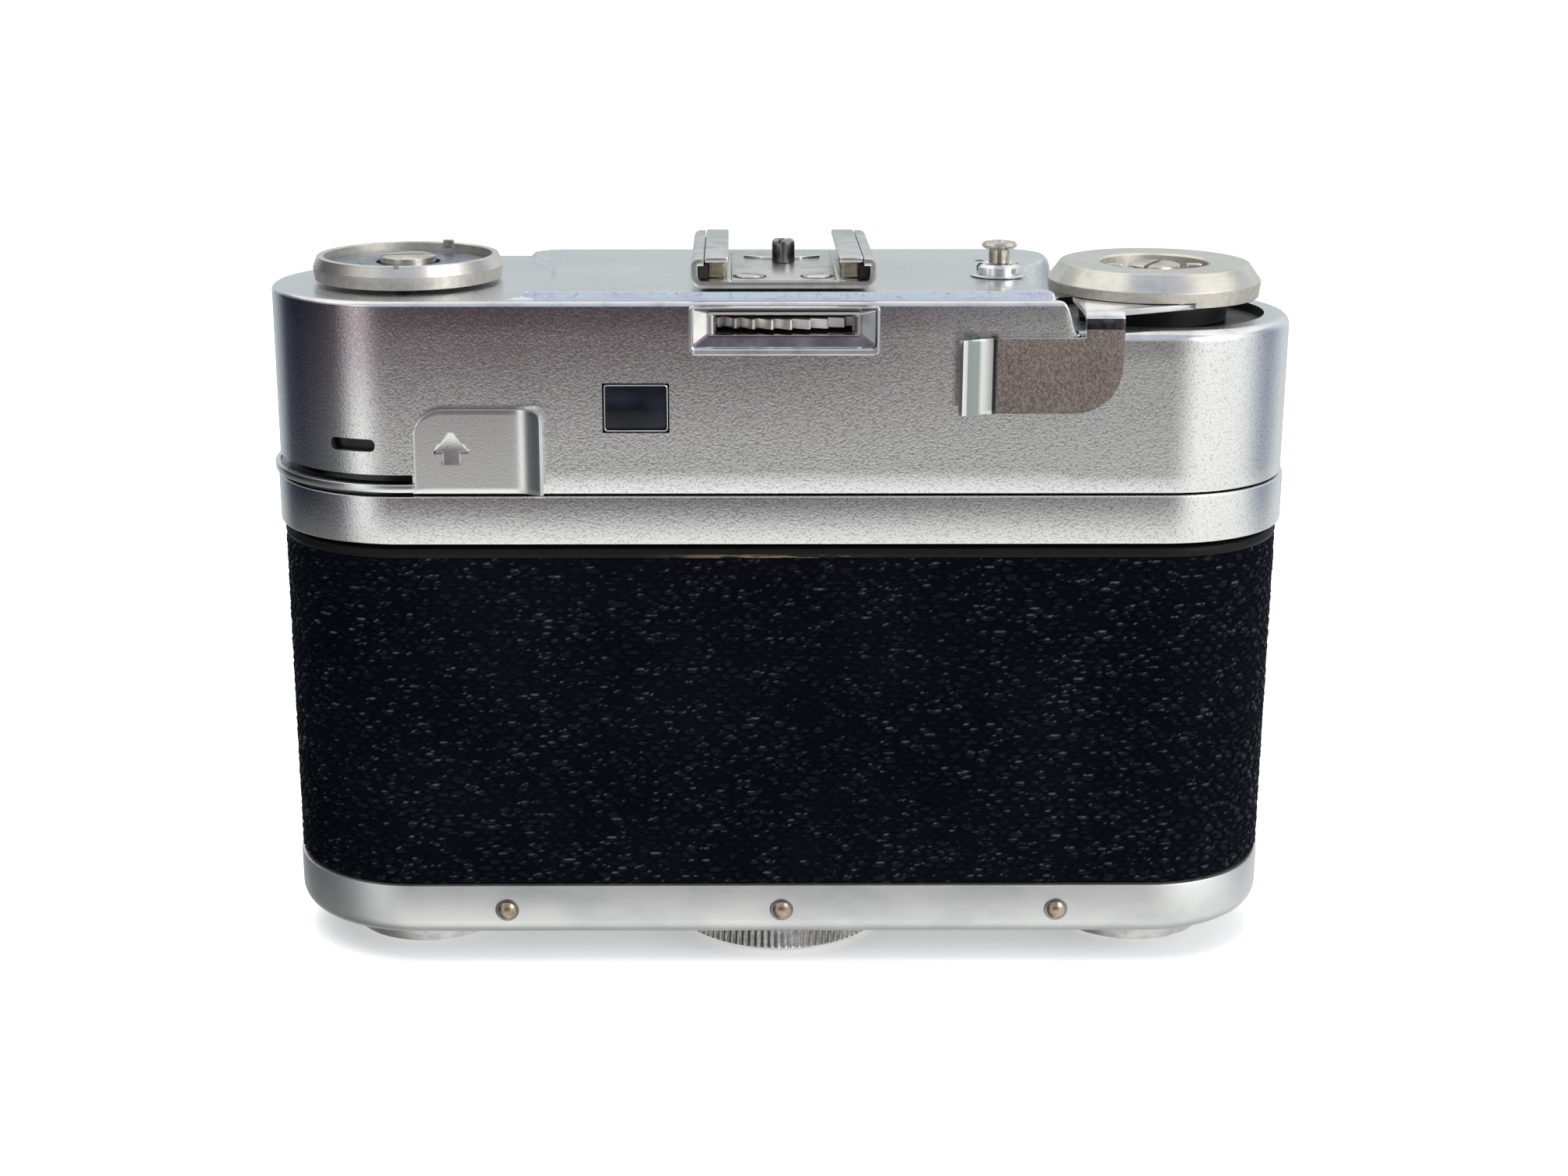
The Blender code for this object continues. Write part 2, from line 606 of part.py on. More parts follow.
def make_release_spring():
    turns, per_turn, low, high = 4, 8, 70.6, 74.4
    curve = bpy.data.curves.new("release_spring", "CURVE")
    curve.dimensions = "3D"
    curve.bevel_depth = 0.22 * MM
    curve.bevel_resolution = 1
    curve.use_fill_caps = True
    spline = curve.splines.new("POLY")
    count = turns * per_turn + 1
    spline.points.add(count - 1)
    for i, point in enumerate(spline.points):
        angle = math.tau * i / per_turn
        height = low + (high - low) * i / (count - 1)
        point.co = (1.8 * math.cos(angle) * MM, 1.8 * math.sin(angle) * MM, height * MM, 1.0)
    made = bpy.data.objects.new("release_spring", curve)
    made.location = Vector((*RELEASE, 0)) * MM
    CAMERA.objects.link(made)
    curve.materials.append(spring_steel("release_spring_finish"))


def make_shoe():
    rail = [(-10.1, 78.4), (10.1, 78.4), (10.1, 81.7), (6.6, 81.7), (6.6, 80.95), (9.3, 80.95), (9.3, 79.0)]
    rail += [(-9.3, 79.0), (-9.3, 80.95), (-6.6, 80.95), (-6.6, 81.7), (-10.1, 81.7)]
    plate("accessory_shoe", [rail], -13.2, 11.0, satin_chrome, facing="Y")
    for side, x in (("left", -7.9), ("right", 7.9)):
        bow = [(-9.0 + 3 * t, 79.3 + 0.9 * math.sin(math.pi * t / 6)) for t in range(7)]
        strip = [(y, z) for y, z in bow] + [(y, z + 0.25) for y, z in reversed(bow)]
        plate("shoe_spring_" + side, [strip], x - 1.1, x + 1.1, spring_steel, facing="X")
    pin = turned("shoe_stop_pin", [(0, 81.9), (1.1, 81.9), (1.3, 81.7), (1.3, 79.3), (0, 79.3)], (0.2, 1.0, 0), spring_steel, 16)
    cut(pin, block("pin_slot", (-2, 0.75, 81.3), (2.4, 1.25, 83)))
    for side, x in (("left", -3.7), ("right", 3.7)):
        profile = [(0, 79.6), (1.2, 79.55), (1.6, 79.3), (0, 79.3)]
        turned("shoe_screw_" + side, profile, (x, -9.8, 0), nickel, 16)


def make_counter():
    teeth = []
    pitch = math.tau / COUNTER_TEETH
    for i in range(COUNTER_TEETH):
        for radius, share in ((COUNTER_R - 0.8, 0.0), (COUNTER_R, 0.75)):
            angle = (i + share) * pitch
            teeth.append((radius * math.cos(angle), COUNTER_Y + radius * math.sin(angle)))
    wheel = plate("counter_wheel", [teeth], 74.3, 75.7, nickel, origin=(0, COUNTER_Y, 0))
    join(wheel, disc("counter_stub", 1.5, 71.5, 76.2, (0, COUNTER_Y), steps=14))
    bezel = block("thumbwheel_bezel", (-10.3, -17.4, 71.7), (10.3, -15.65, 77.3), satin_chrome, bevel=0.6)
    cut(bezel, block("bezel_slot", (-7.6, -20, 74.0), (7.6, -14, 76.0)))


# ---------------------------------------------------------------- finder and rangefinder


def make_finder():
    block("eyepiece_glass", (-19.1, -15.0, 63.6), (-13.1, -14.2, 67.8), clear_glass)
    back, front = PANEL_Y - 1.05, PANEL_Y - 0.25
    block("viewfinder_window", (-22.2, back, 61.3), (-9.8, front, 70.2), clear_glass)
    block("rangefinder_window", (12.8, back, 63.1), (18.2, front, 68.5), clear_glass)
    body = block("viewfinder_block", (-24, -9, 53.8), (19.5, 11, 57.6), black_metal, bevel=0.4)
    join(body, block("finder_cheek", (-23.5, -8.5, 57.0), (-21.9, 10.5, 71.0)))
    turn = Matrix.Rotation(math.radians(45), 4, "Z")
    block("beam_splitter", (-20.5, 0.4, 58.1), (-11.5, 1.6, 69.5), clear_glass, turn=turn)
    mirror = block("rangefinder_mirror", (11.5, 0.6, 59.2), (19.5, 1.4, 69.5), polished_chrome, turn=turn)
    join(mirror, disc("mirror_pivot", 1.0, 58.0, 70.2, (15.5, 1.0), steps=12))
    hinge_axis("rangefinder_mirror", (15.5, 1.0, 0), mirror)


# ---------------------------------------------------------------- lens and shutter


def make_lens():
    centre = (0, 0, LENS_Z)
    mount = [(15.0, 18.3), (21.9, 18.3), (22.5, 17.7), (22.5, 16.0), (19.4, 16.0), (19.4, 14.6), (15.0, 14.6)]
    turned("lens_mount", mount, centre, satin_chrome, ROUND_STEPS, "Y", ring=True)
    housing = [(13.0, 27.0), (21.2, 27.0), (22.0, 26.2), (22.0, 18.6), (13.0, 18.6)]
    turned("shutter_housing", housing, centre, black_metal, ROUND_STEPS, "Y", ring=True)
    speed = [(13.0, 30.5), (21.8, 30.5), (22.6, 29.9), (22.6, 27.3), (13.0, 27.3)]
    turned("speed_ring", speed, centre, satin_aluminium, ROUND_STEPS, "Y", ring=True)
    aperture = [(13.0, 33.0), (18.4, 33.0), (19.0, 32.6), (19.0, 30.8), (13.0, 30.8)]
    turned("aperture_ring", aperture, centre, satin_aluminium, ROUND_STEPS, "Y", ring=True)
    focus = [(13.0, 39.0), (19.6, 39.0), (20.4, 38.2), (20.4, 33.3), (13.0, 33.3)]
    turned("focus_ring", focus, centre, satin_aluminium, ROUND_STEPS, "Y", ring=True)
    barrel = [(9.5, 38.6), (11.6, 40.6), (12.6, 40.6), (12.6, 18.9), (9.5, 18.9)]
    turned("lens_barrel", barrel, centre, black_metal, ROUND_STEPS, "Y", ring=True)
    dome = [(0, 38.2), (4.5, 37.8), (9.1, 36.4), (9.1, 34.5), (0, 34.5)]
    turned("front_element", dome, centre, clear_glass, 24, "Y")
    turned("rear_element", [(0, 19.0), (8.8, 18.0), (8.8, 15.6), (0, 15.6)], centre, clear_glass, 24, "Y")


def make_shutter_controls():
    x, z = TIMER
    hub = turned("self_timer_lever", [(0, 25.6), (1.6, 25.6), (2.0, 25.2), (2.0, 21.5), (0, 21.5)], (x, 0, z), satin_chrome, 16, "Y")
    arm = [(x - 1.3, z), (x - 2.4, z - 9.5), *arc((x - 1.2, z - 9.8), 1.4, 190, 350, 5), (x + 1.3, z)]
    join(hub, plate("timer_arm", [arm], 23.2, 24.4, facing="Y"))
    x, z = FLASH
    socket = [(1.2, 27.0), (2.3, 27.0), (2.6, 26.7), (2.6, 19.0), (1.2, 19.0)]
    turned("flash_socket", socket, (x, 0, z), polished_chrome, 16, "Y", ring=True)


def shade_all():
    for item in CAMERA.objects:
        if item.type == "MESH":
            smooth(item)


def set_in_frame():
    """Hangs everything on one empty on the lock wheel's axis, so that the origin is under the middle."""
    axis = bpy.data.objects.new("lock_axis", None)
    AXES.objects.link(axis)
    for item in bpy.data.objects:
        if item.parent is None and item is not axis:
            item.parent = axis
    axis.location = [size * MM for size in LOCK_AXIS]


make_chassis()
make_top_ring()
make_top_housing()
make_front_leathers()
make_back()
make_feet()
make_lock()
make_pressure_parts()
make_gears()
make_sprocket()
make_take_up_spool()
make_rewind()
make_rewind_release_lever()
make_advance()
make_advance_lever()
make_release()
make_release_spring()
make_shoe()
make_counter()
make_finder()
make_lens()
make_shutter_controls()
shade_all()
set_in_frame()
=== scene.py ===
"""Looks of the rangefinder camera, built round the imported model. Millimetres, +Y is the lens side."""
import json
import math

import bmesh
import bpy
import numpy as np
from mathutils import Matrix, Vector


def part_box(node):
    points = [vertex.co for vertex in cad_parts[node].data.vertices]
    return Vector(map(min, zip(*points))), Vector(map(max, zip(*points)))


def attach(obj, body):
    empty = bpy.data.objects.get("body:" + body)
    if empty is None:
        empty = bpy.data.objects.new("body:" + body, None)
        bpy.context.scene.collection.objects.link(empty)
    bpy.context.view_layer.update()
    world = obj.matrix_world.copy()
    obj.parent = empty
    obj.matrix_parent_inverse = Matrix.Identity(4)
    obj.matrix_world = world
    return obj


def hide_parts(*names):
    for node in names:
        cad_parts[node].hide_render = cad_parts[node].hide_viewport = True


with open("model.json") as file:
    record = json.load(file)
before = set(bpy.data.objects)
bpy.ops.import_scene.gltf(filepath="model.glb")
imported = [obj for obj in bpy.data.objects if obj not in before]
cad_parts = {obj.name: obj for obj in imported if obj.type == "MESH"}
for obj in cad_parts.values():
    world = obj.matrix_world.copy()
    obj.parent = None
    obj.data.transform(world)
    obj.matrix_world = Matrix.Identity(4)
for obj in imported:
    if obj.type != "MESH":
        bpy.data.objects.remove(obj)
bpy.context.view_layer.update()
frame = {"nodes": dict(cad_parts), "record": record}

MM = 0.001
LOCK_LOW, LOCK_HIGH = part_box("lock_wheel")
# Sizes count from the lock wheel's axis on the standing plane.
ORIGIN = Vector(((LOCK_LOW.x + LOCK_HIGH.x) / 2, (LOCK_LOW.y + LOCK_HIGH.y) / 2, 0))
RECORD = frame["record"]
BODY_OF = {node: body for body, nodes in RECORD["behaviour"]["bodies"].items() for node in nodes}
SLOT_OF = {part["node"]: part["material_slot"] for part in RECORD["subparts"]}


def low_high(node):
    low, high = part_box(node)
    return np.array(low - ORIGIN) / MM, np.array(high - ORIGIN) / MM


def middle(node):
    low, high = low_high(node)
    return (low + high) / 2


# Driving sizes, read from the frame.
SPOOL_X = middle("advance_knob")[0]
HOUSING_R = low_high("base_plate")[1][1]
HOUSING_LOW = low_high("top_ring")[1][2] + 0.13
SHOULDER_LEFT = low_high("rewind_knob")[0][2] - 0.35
DECK_TOP = low_high("release_collar")[0][2] - 0.3
SHOULDER_RIGHT = low_high("advance_lever")[1][2] - 1.6
LEATHER_LOW, LEATHER_HIGH = low_high("back_leather")[0][2] - 0.25, low_high("back_leather")[1][2] + 0.2
LEATHER_R = low_high("back_leather")[1][0] - SPOOL_X
LEATHER_REACH = 39.7  # from the middle to the wrap's front edges
LENS_Z = middle("focus_ring")[2]
RELEASE_X, RELEASE_Y = middle("release_button")[:2]
COUNTER_Y = middle("counter_wheel")[1]
BASE_LOW, BASE_TOP = low_high("base_plate")[0][2], low_high("base_plate")[1][2]


# ---------------------------------------------------------------- pieces


def piece(name, verts, faces, look, node=None, stands_for=(), body=None, sharp=32):
    """A mesh in millimetres becomes a piece that rides on a CAD body and may stand for CAD nodes."""
    mesh = bpy.data.meshes.new(name)
    mesh.from_pydata((np.asarray(verts, float) * MM).tolist(), [], faces)
    mesh.update()
    obj = bpy.data.objects.new(name, mesh)
    bpy.context.scene.collection.objects.link(obj)
    obj.location = ORIGIN
    tidy(obj)
    return adopt(obj, look, node, stands_for, body, sharp)


def tidy(obj, distance=1e-7):
    work = bmesh.new()
    work.from_mesh(obj.data)
    bmesh.ops.remove_doubles(work, verts=work.verts, dist=distance)
    bmesh.ops.recalc_face_normals(work, faces=work.faces)
    work.to_mesh(obj.data)
    work.free()


def adopt(obj, look, node=None, stands_for=(), body=None, sharp=32):
    if look:
        obj.data.materials.clear()
        obj.data.materials.append(look)
    obj.data.shade_smooth()
    obj.data.set_sharp_from_angle(angle=math.radians(sharp))
    if node:
        stands_for = (node, *stands_for)
    if body or node:
        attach(obj, body or BODY_OF[node])
    if stands_for:
        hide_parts(*stands_for)
    return obj


def tool(verts, faces):
    """A loose closed mesh used to cut or to join, in millimetres."""
    mesh = bpy.data.meshes.new("tool")
    mesh.from_pydata((np.asarray(verts, float) * MM).tolist(), [], faces)
    obj = bpy.data.objects.new("tool", mesh)
    bpy.context.scene.collection.objects.link(obj)
    obj.location = ORIGIN
    tidy(obj)
    return obj


def bake(obj):
    """Applies the modifiers."""
    bpy.context.view_layer.update()
    graph = bpy.context.evaluated_depsgraph_get()
    mesh = bpy.data.meshes.new_from_object(obj.evaluated_get(graph))
    obj.modifiers.clear()
    obj.data = mesh
    return obj


def boolean(obj, tools, operation, solver="MANIFOLD"):
    looks = [look for look in obj.data.materials if look]
    for other in tools:
        step = obj.modifiers.new("cut", "BOOLEAN")
        step.operation, step.solver, step.object = operation, solver, other
    bake(obj)
    obj.data.polygons.foreach_set("material_index", np.zeros(len(obj.data.polygons), np.int32))
    obj.data.materials.clear()
    for look in looks[:1]:
        obj.data.materials.append(look)
    for other in tools:
        bpy.data.objects.remove(other, do_unlink=True)
    return obj


def grid_faces(rows, columns, close_rows=False, close_columns=False):
    """Quads of a grid of points, row by row, optionally closed in either direction."""
    faces = []
    for i in range(rows if close_rows else rows - 1):
        for j in range(columns if close_columns else columns - 1):
            a, b = i * columns + j, i * columns + (j + 1) % columns
            c, d = ((i + 1) % rows) * columns + (j + 1) % columns, ((i + 1) % rows) * columns + j
            faces.append((a, b, c, d))
    return faces


def box_tool(low, high, turn=0.0):
    work = bmesh.new()
    low, high = np.array(low, float) * MM, np.array(high, float) * MM
    shape = Matrix.Translation((low + high) / 2) @ Matrix.Rotation(math.radians(turn), 4, "Z")
    bmesh.ops.create_cube(work, size=1.0, matrix=shape @ Matrix.Diagonal((*(high - low), 1.0)))
    mesh = bpy.data.meshes.new("tool")
    work.to_mesh(mesh)
    work.free()
    obj = bpy.data.objects.new("tool", mesh)
    bpy.context.scene.collection.objects.link(obj)
    obj.location = ORIGIN
    return obj


def rounded_box(low, high, radius, segments=3, turn=0.0):
    obj = box_tool(low, high, turn)
    step = obj.modifiers.new("edges", "BEVEL")
    step.width, step.segments = radius * MM, segments
    return bake(obj)


def fillet(points, radius, count=4, closed=False):
    """The polyline with its corners rounded. Radius may be a number or one for each point."""
    points = [np.array(p, float) for p in points]
    total = len(points)
    radii = radius if hasattr(radius, "__len__") else [radius] * total
    found = []
    for i, point in enumerate(points):
        if not closed and i in (0, total - 1) or radii[i] <= 0:
            found.append(tuple(point))
            continue
        before, after = points[i - 1] - point, points[(i + 1) % total] - point
        reach_before, reach_after = np.linalg.norm(before), np.linalg.norm(after)
        before, after = before / reach_before, after / reach_after
        angle = math.acos(max(-1.0, min(1.0, float(before @ after))))
        if angle > math.radians(176):
            found.append(tuple(point))
            continue
        run = min(radii[i] / math.tan(angle / 2), 0.49 * reach_before, 0.49 * reach_after)
        for k in range(count + 1):
            t = k / count
            start, end = point + before * run, point + after * run
            found.append(tuple((1 - t) ** 2 * start + 2 * t * (1 - t) * point + t * t * end))
    return found


def lathe_mesh(profile, centre, facing="Z", steps=96, ripple=None, ring=False):
    """Points and faces of a turned shape. A ripple may change each point's radius and height."""
    profile = np.array(profile, float)
    angles = np.linspace(0, math.tau, steps, endpoint=False)
    radius = np.repeat(profile[:, :1], steps, 1)
    height = np.repeat(profile[:, 1:], steps, 1)
    turn = np.repeat(angles[None, :], len(profile), 0)
    if ripple:
        radius, height = ripple(radius, height, turn)
    across, along = radius * np.cos(turn), radius * np.sin(turn)
    if facing == "Z":
        parts = (centre[0] + across, centre[1] + along, centre[2] + height)
    else:
        parts = (centre[0] + across, centre[1] + height, centre[2] + along)
    verts = np.stack(parts, -1).reshape(-1, 3)
    return verts, grid_faces(len(profile), steps, ring, True)


def lathe(name, profile, centre, look, node=None, facing="Z", steps=96, ripple=None, ring=False, **more):
    verts, faces = lathe_mesh(profile, centre, facing, steps, ripple, ring)
    return piece(name, verts, faces, look, node, **more)


def lathe_tool(profile, centre, facing="Z", steps=48, ring=False):
    return tool(*lathe_mesh(profile, centre, facing, steps, None, ring))


def cylinder_tool(radius, low, high, centre, facing="Z", steps=48):
    where = (centre[0], centre[1], 0) if facing == "Z" else (centre[0], 0, centre[1])
    return lathe_tool([(0, high), (radius, high), (radius, low), (0, low)], where, facing, steps)


def arc(centre, radius, start, end, count):
    angles = np.radians(np.linspace(start, end, count + 1))
    return [(centre[0] + radius * math.cos(a), centre[1] + radius * math.sin(a)) for a in angles]


def smoothstep(t):
    t = np.clip(t, 0, 1)
    return t * t * (3 - 2 * t)


AXES = {"Z": (0, 1, 2), "Y": (0, 2, 1), "X": (1, 2, 0)}


def slab_mesh(outline, low, high, facing="Z", edge=0.15, edge_steps=2):
    """A flat outline given thickness, its long edges rounded by stepping the outline inwards."""
    outline = np.array(outline, float)
    following, before = np.roll(outline, -1, 0), np.roll(outline, 1, 0)
    tangent = (following - outline) / np.maximum(np.linalg.norm(following - outline, axis=1), 1e-9)[:, None]
    earlier = (outline - before) / np.maximum(np.linalg.norm(outline - before, axis=1), 1e-9)[:, None]
    area = np.sum(outline[:, 0] * following[:, 1] - following[:, 0] * outline[:, 1])
    sign = 1.0 if area > 0 else -1.0
    normal = np.stack([-(tangent + earlier)[:, 1], (tangent + earlier)[:, 0]], 1) * sign
    length = np.maximum(np.linalg.norm(normal, axis=1), 1e-6)
    normal = normal / length[:, None]
    mitre = 1 / np.maximum(length / 2, 0.35)
    rings = []
    for k in range(edge_steps + 1):
        angle = math.pi / 2 * k / edge_steps
        rings.append((edge * (1 - math.sin(angle)), low + edge * (1 - math.cos(angle))))
    rings += [(inset, low + high - level) for inset, level in reversed(rings)]
    total, verts = len(outline), []
    for inset, level in rings:
        flat = outline + normal * (mitre * inset)[:, None]
        full = np.zeros((total, 3))
        first, second, third = AXES[facing]
        full[:, first], full[:, second], full[:, third] = flat[:, 0], flat[:, 1], level
        verts.append(full)
    faces = grid_faces(len(rings), total, False, True)
    faces.append(tuple(range(total)))
    faces.append(tuple((len(rings) - 1) * total + i for i in reversed(range(total))))
    return np.concatenate(verts), faces


def slab(name, outline, low, high, look, node=None, facing="Z", edge=0.15, **more):
    verts, faces = slab_mesh(outline, low, high, facing, edge)
    return piece(name, verts, faces, look, node, **more)


def slab_tool(outline, low, high, facing="Z", edge=0.0001):
    return tool(*slab_mesh(outline, low, high, facing, edge, 1))


# ---------------------------------------------------------------- stadium shapes


def stadium_stations(straight=200, around=56):
    """Points on the middle line with outward directions, once round the body."""
    xs = np.linspace(-SPOOL_X, SPOOL_X, straight + 1)[:-1]
    sweep = np.linspace(-90, 90, around + 1)[:-1]
    middle_points, outward = [], []
    for x in xs:
        middle_points.append((x, 0)), outward.append((0, -1))
    for a in np.radians(sweep):
        middle_points.append((SPOOL_X, 0)), outward.append((math.cos(a), math.sin(a)))
    for x in -xs:
        middle_points.append((x, 0)), outward.append((0, 1))
    for a in np.radians(sweep + 180):
        middle_points.append((-SPOOL_X, 0)), outward.append((math.cos(a), math.sin(a)))
    return np.array(middle_points, float), np.array(outward, float)


def band_mesh(profile, straight=60, around=56, closed=True):
    """A closed (radius, height) profile carried once round the stadium."""
    centres, outward = stadium_stations(straight, around)
    verts = []
    for radius, height in profile:
        flat = centres + outward * radius
        verts.append(np.column_stack([flat, np.full(len(flat), height)]))
    return np.concatenate(verts), grid_faces(len(profile), len(centres), closed, True)


def wrap_stations(step, reach):
    """Stations along the back and both ends, from the left front edge to the right one, with distances."""
    quarter = math.pi * LEATHER_R
    straight, front = 2 * SPOOL_X, SPOOL_X - reach
    total = 2 * front + 2 * quarter + straight
    along = np.linspace(0, total, int(total / step) + 1)
    centres, outward = np.zeros((len(along), 2)), np.zeros((len(along), 2))
    for i, s in enumerate(along):
        if s < front:
            centres[i], outward[i] = (-reach - s, 0), (0, 1)
        elif s < front + quarter:
            a = math.pi / 2 + (s - front) / LEATHER_R
            centres[i], outward[i] = (-SPOOL_X, 0), (math.cos(a), math.sin(a))
        elif s < front + quarter + straight:
            centres[i], outward[i] = (-SPOOL_X + s - front - quarter, 0), (0, -1)
        elif s < front + 2 * quarter + straight:
            a = -math.pi / 2 + (s - front - quarter - straight) / LEATHER_R
            centres[i], outward[i] = (SPOOL_X, 0), (math.cos(a), math.sin(a))
        else:
            centres[i], outward[i] = (SPOOL_X - (s - front - 2 * quarter - straight), 0), (0, 1)
    return along, centres, outward


# ---------------------------------------------------------------- materials


class Look:
    """A small helper that adds and links shader nodes."""

    def __init__(self, name):
        self.material = bpy.data.materials.new(name)
        self.material.use_nodes = True
        self.tree = self.material.node_tree
        self.shader = self.tree.nodes["Principled BSDF"]
        self.place = self.node("ShaderNodeTexCoord").outputs["Object"]

    def node(self, kind, **settings):
        made = self.tree.nodes.new(kind)
        for key, value in settings.items():
            setattr(made, key, value)
        return made

    def feed(self, target, value):
        if hasattr(value, "is_output"):
            self.tree.links.new(value, target)
        else:
            target.default_value = value

    def noise(self, scale, detail=2.0, rough=0.5, stretch=(1, 1, 1), place=None):
        mapping = self.node("ShaderNodeMapping")
        mapping.inputs["Scale"].default_value = stretch
        self.feed(mapping.inputs["Vector"], place or self.place)
        made = self.node("ShaderNodeTexNoise")
        made.inputs["Scale"].default_value = scale
        made.inputs["Detail"].default_value = detail
        made.inputs["Roughness"].default_value = rough
        self.feed(made.inputs["Vector"], mapping.outputs["Vector"])
        return made.outputs["Fac"]

    def math(self, operation, first, second=0.0, clamp=False):
        made = self.node("ShaderNodeMath", operation=operation, use_clamp=clamp)
        self.feed(made.inputs[0], first)
        self.feed(made.inputs[1], second)
        return made.outputs[0]

    def remap(self, value, low, high, to_low=0.0, to_high=1.0):
        made = self.node("ShaderNodeMapRange", interpolation_type="SMOOTHSTEP")
        for key, number in zip(("Value", "From Min", "From Max", "To Min", "To Max"),
                               (value, low, high, to_low, to_high)):
            self.feed(made.inputs[key], number)
        return made.outputs["Result"]

    def mix(self, factor, first, second, blend="MIX"):
        made = self.node("ShaderNodeMix", data_type="RGBA", blend_type=blend)
        self.feed(made.inputs[0], factor)
        for socket, value in ((made.inputs[6], first), (made.inputs[7], second)):
            self.feed(socket, (*value, 1.0) if isinstance(value, tuple) and len(value) == 3 else value)
        return made.outputs[2]

    def split(self, vector=None):
        made = self.node("ShaderNodeSeparateXYZ")
        self.feed(made.inputs[0], vector or self.place)
        return made.outputs

    def bump(self, height, strength, distance):
        made = self.node("ShaderNodeBump")
        self.feed(made.inputs["Height"], height)
        made.inputs["Strength"].default_value = strength
        made.inputs["Distance"].default_value = distance
        return made.outputs["Normal"]

    def polar(self, centre, facing="Z"):
        """Radius in millimetres and the angle about a turned piece's axis."""
        shift = self.node("ShaderNodeVectorMath", operation="SUBTRACT")
        self.feed(shift.inputs[0], self.place)
        shift.inputs[1].default_value = tuple(np.array(centre, float) * MM)
        x, y, z = self.split(shift.outputs[0])
        other = y if facing == "Z" else z
        radius = self.math("SQRT",
                           self.math("ADD", self.math("MULTIPLY", x, x),
                                     self.math("MULTIPLY", other, other)))
        return self.math("DIVIDE", radius, MM), self.math("ARCTAN2", other, x)

    def done(self, colour, metallic, roughness, normal=None):
        self.feed(self.shader.inputs["Base Color"],
                  (*colour, 1.0) if isinstance(colour, tuple) and len(colour) == 3 else colour)
        self.feed(self.shader.inputs["Metallic"], metallic)
        self.feed(self.shader.inputs["Roughness"], roughness)
        if normal:
            self.feed(self.shader.inputs["Normal"], normal)
        return self.material


def satin_chrome(name, pale=(0.82, 0.83, 0.825), painted_reflection=(0.36, 0.29, 0.31), low=60.0, high=77.0, amount=0.9,
                 grain=0.26, roughness=0.20, sand=1.25):
    """Sand-blasted chrome: a crisp grain, and a painted reflection that darkens the back face towards the
    top and the left.
    """
    look = Look(name)
    x, y, z = look.split()
    # Painted reflection: the back face's colour darkens towards the top and the left, standing in for the
    # darker surroundings it reflects.
    rise = look.remap(z, low * MM, high * MM)
    leftness = look.remap(x, 0.036, -0.010)
    cloud = look.noise(45, 3, 0.6)
    facing_back = look.remap(y, -0.009, -0.0148)
    tint = look.math("MULTIPLY", look.math("MULTIPLY", rise, facing_back),
                     look.remap(leftness, 0, 1, 0.02, 1.0))
    drift = look.math("MULTIPLY", look.math("SUBTRACT", cloud, 0.5), 0.5)
    tint = look.math("MULTIPLY", tint, look.math("ADD", amount, drift), True)
    colour = look.mix(tint, pale, painted_reflection)
    grit = look.noise(5200, 2, 0.6)
    coarse = look.noise(4300, 2, 0.6, (0.9, 0.9, 1.1))
    lit = look.remap(coarse, 0.52, 0.70, 0.0, 0.20 * sand)
    colour = look.mix(look.remap(coarse, 0.50, 0.30, 0.0, 0.30 * sand), colour, (0.16, 0.15, 0.17))
    colour = look.mix(lit, colour, (0.96, 0.96, 0.95))
    rough = look.math("ADD", roughness, look.math("MULTIPLY", look.math("SUBTRACT", grit, 0.5), 0.14))
    normal = look.bump(look.math("ADD", look.math("MULTIPLY", grit, 0.3), coarse), grain, 0.00007)
    return look.done(colour, 1.0, rough, normal)


def polished_chrome(name, tint=(0.86, 0.87, 0.89), roughness=0.10):
    look = Look(name)
    haze = look.noise(300, 4, 0.65)
    scratch = look.noise(900, 2, 0.5, (1, 1, 12))
    rough = look.math("ADD", roughness, look.math("MULTIPLY", haze, 0.12))
    colour = look.mix(look.remap(haze, 0.45, 0.75), tint, (0.66, 0.66, 0.66))
    return look.done(colour, 1.0, rough, look.bump(scratch, 0.08, 0.00002))


def deck_metal(name):
    """Smoother chrome of the top faces, cool grey with faint wear."""
    look = Look(name)
    cloud = look.noise(60, 4, 0.6)
    fine = look.noise(3800, 2, 0.5)
    colour = look.mix(look.remap(cloud, 0.3, 0.7), (0.70, 0.73, 0.75), (0.80, 0.81, 0.82))
    return look.done(colour, 1.0, look.remap(fine, 0.2, 0.8, 0.24, 0.34), look.bump(fine, 0.10, 0.00004))


def iridescent_chrome(name):
    """Bright edge of the pressing with a faint play of pink, green and blue."""
    look = Look(name)
    along = look.noise(240, 3, 0.6, (1, 0.5, 0.5))
    patch = look.noise(1500, 3, 0.6)
    colour = look.mix(look.remap(along, 0.36, 0.52), (0.86, 0.80, 0.94), (0.86, 0.96, 0.90))
    colour = look.mix(look.remap(patch, 0.52, 0.66), colour, (0.97, 0.97, 0.98))
    colour = look.mix(look.remap(patch, 0.44, 0.32, 0.0, 0.5), colour, (0.45, 0.46, 0.52))
    return look.done(colour, 1.0, 0.16, look.bump(patch, 0.25, 0.00004))


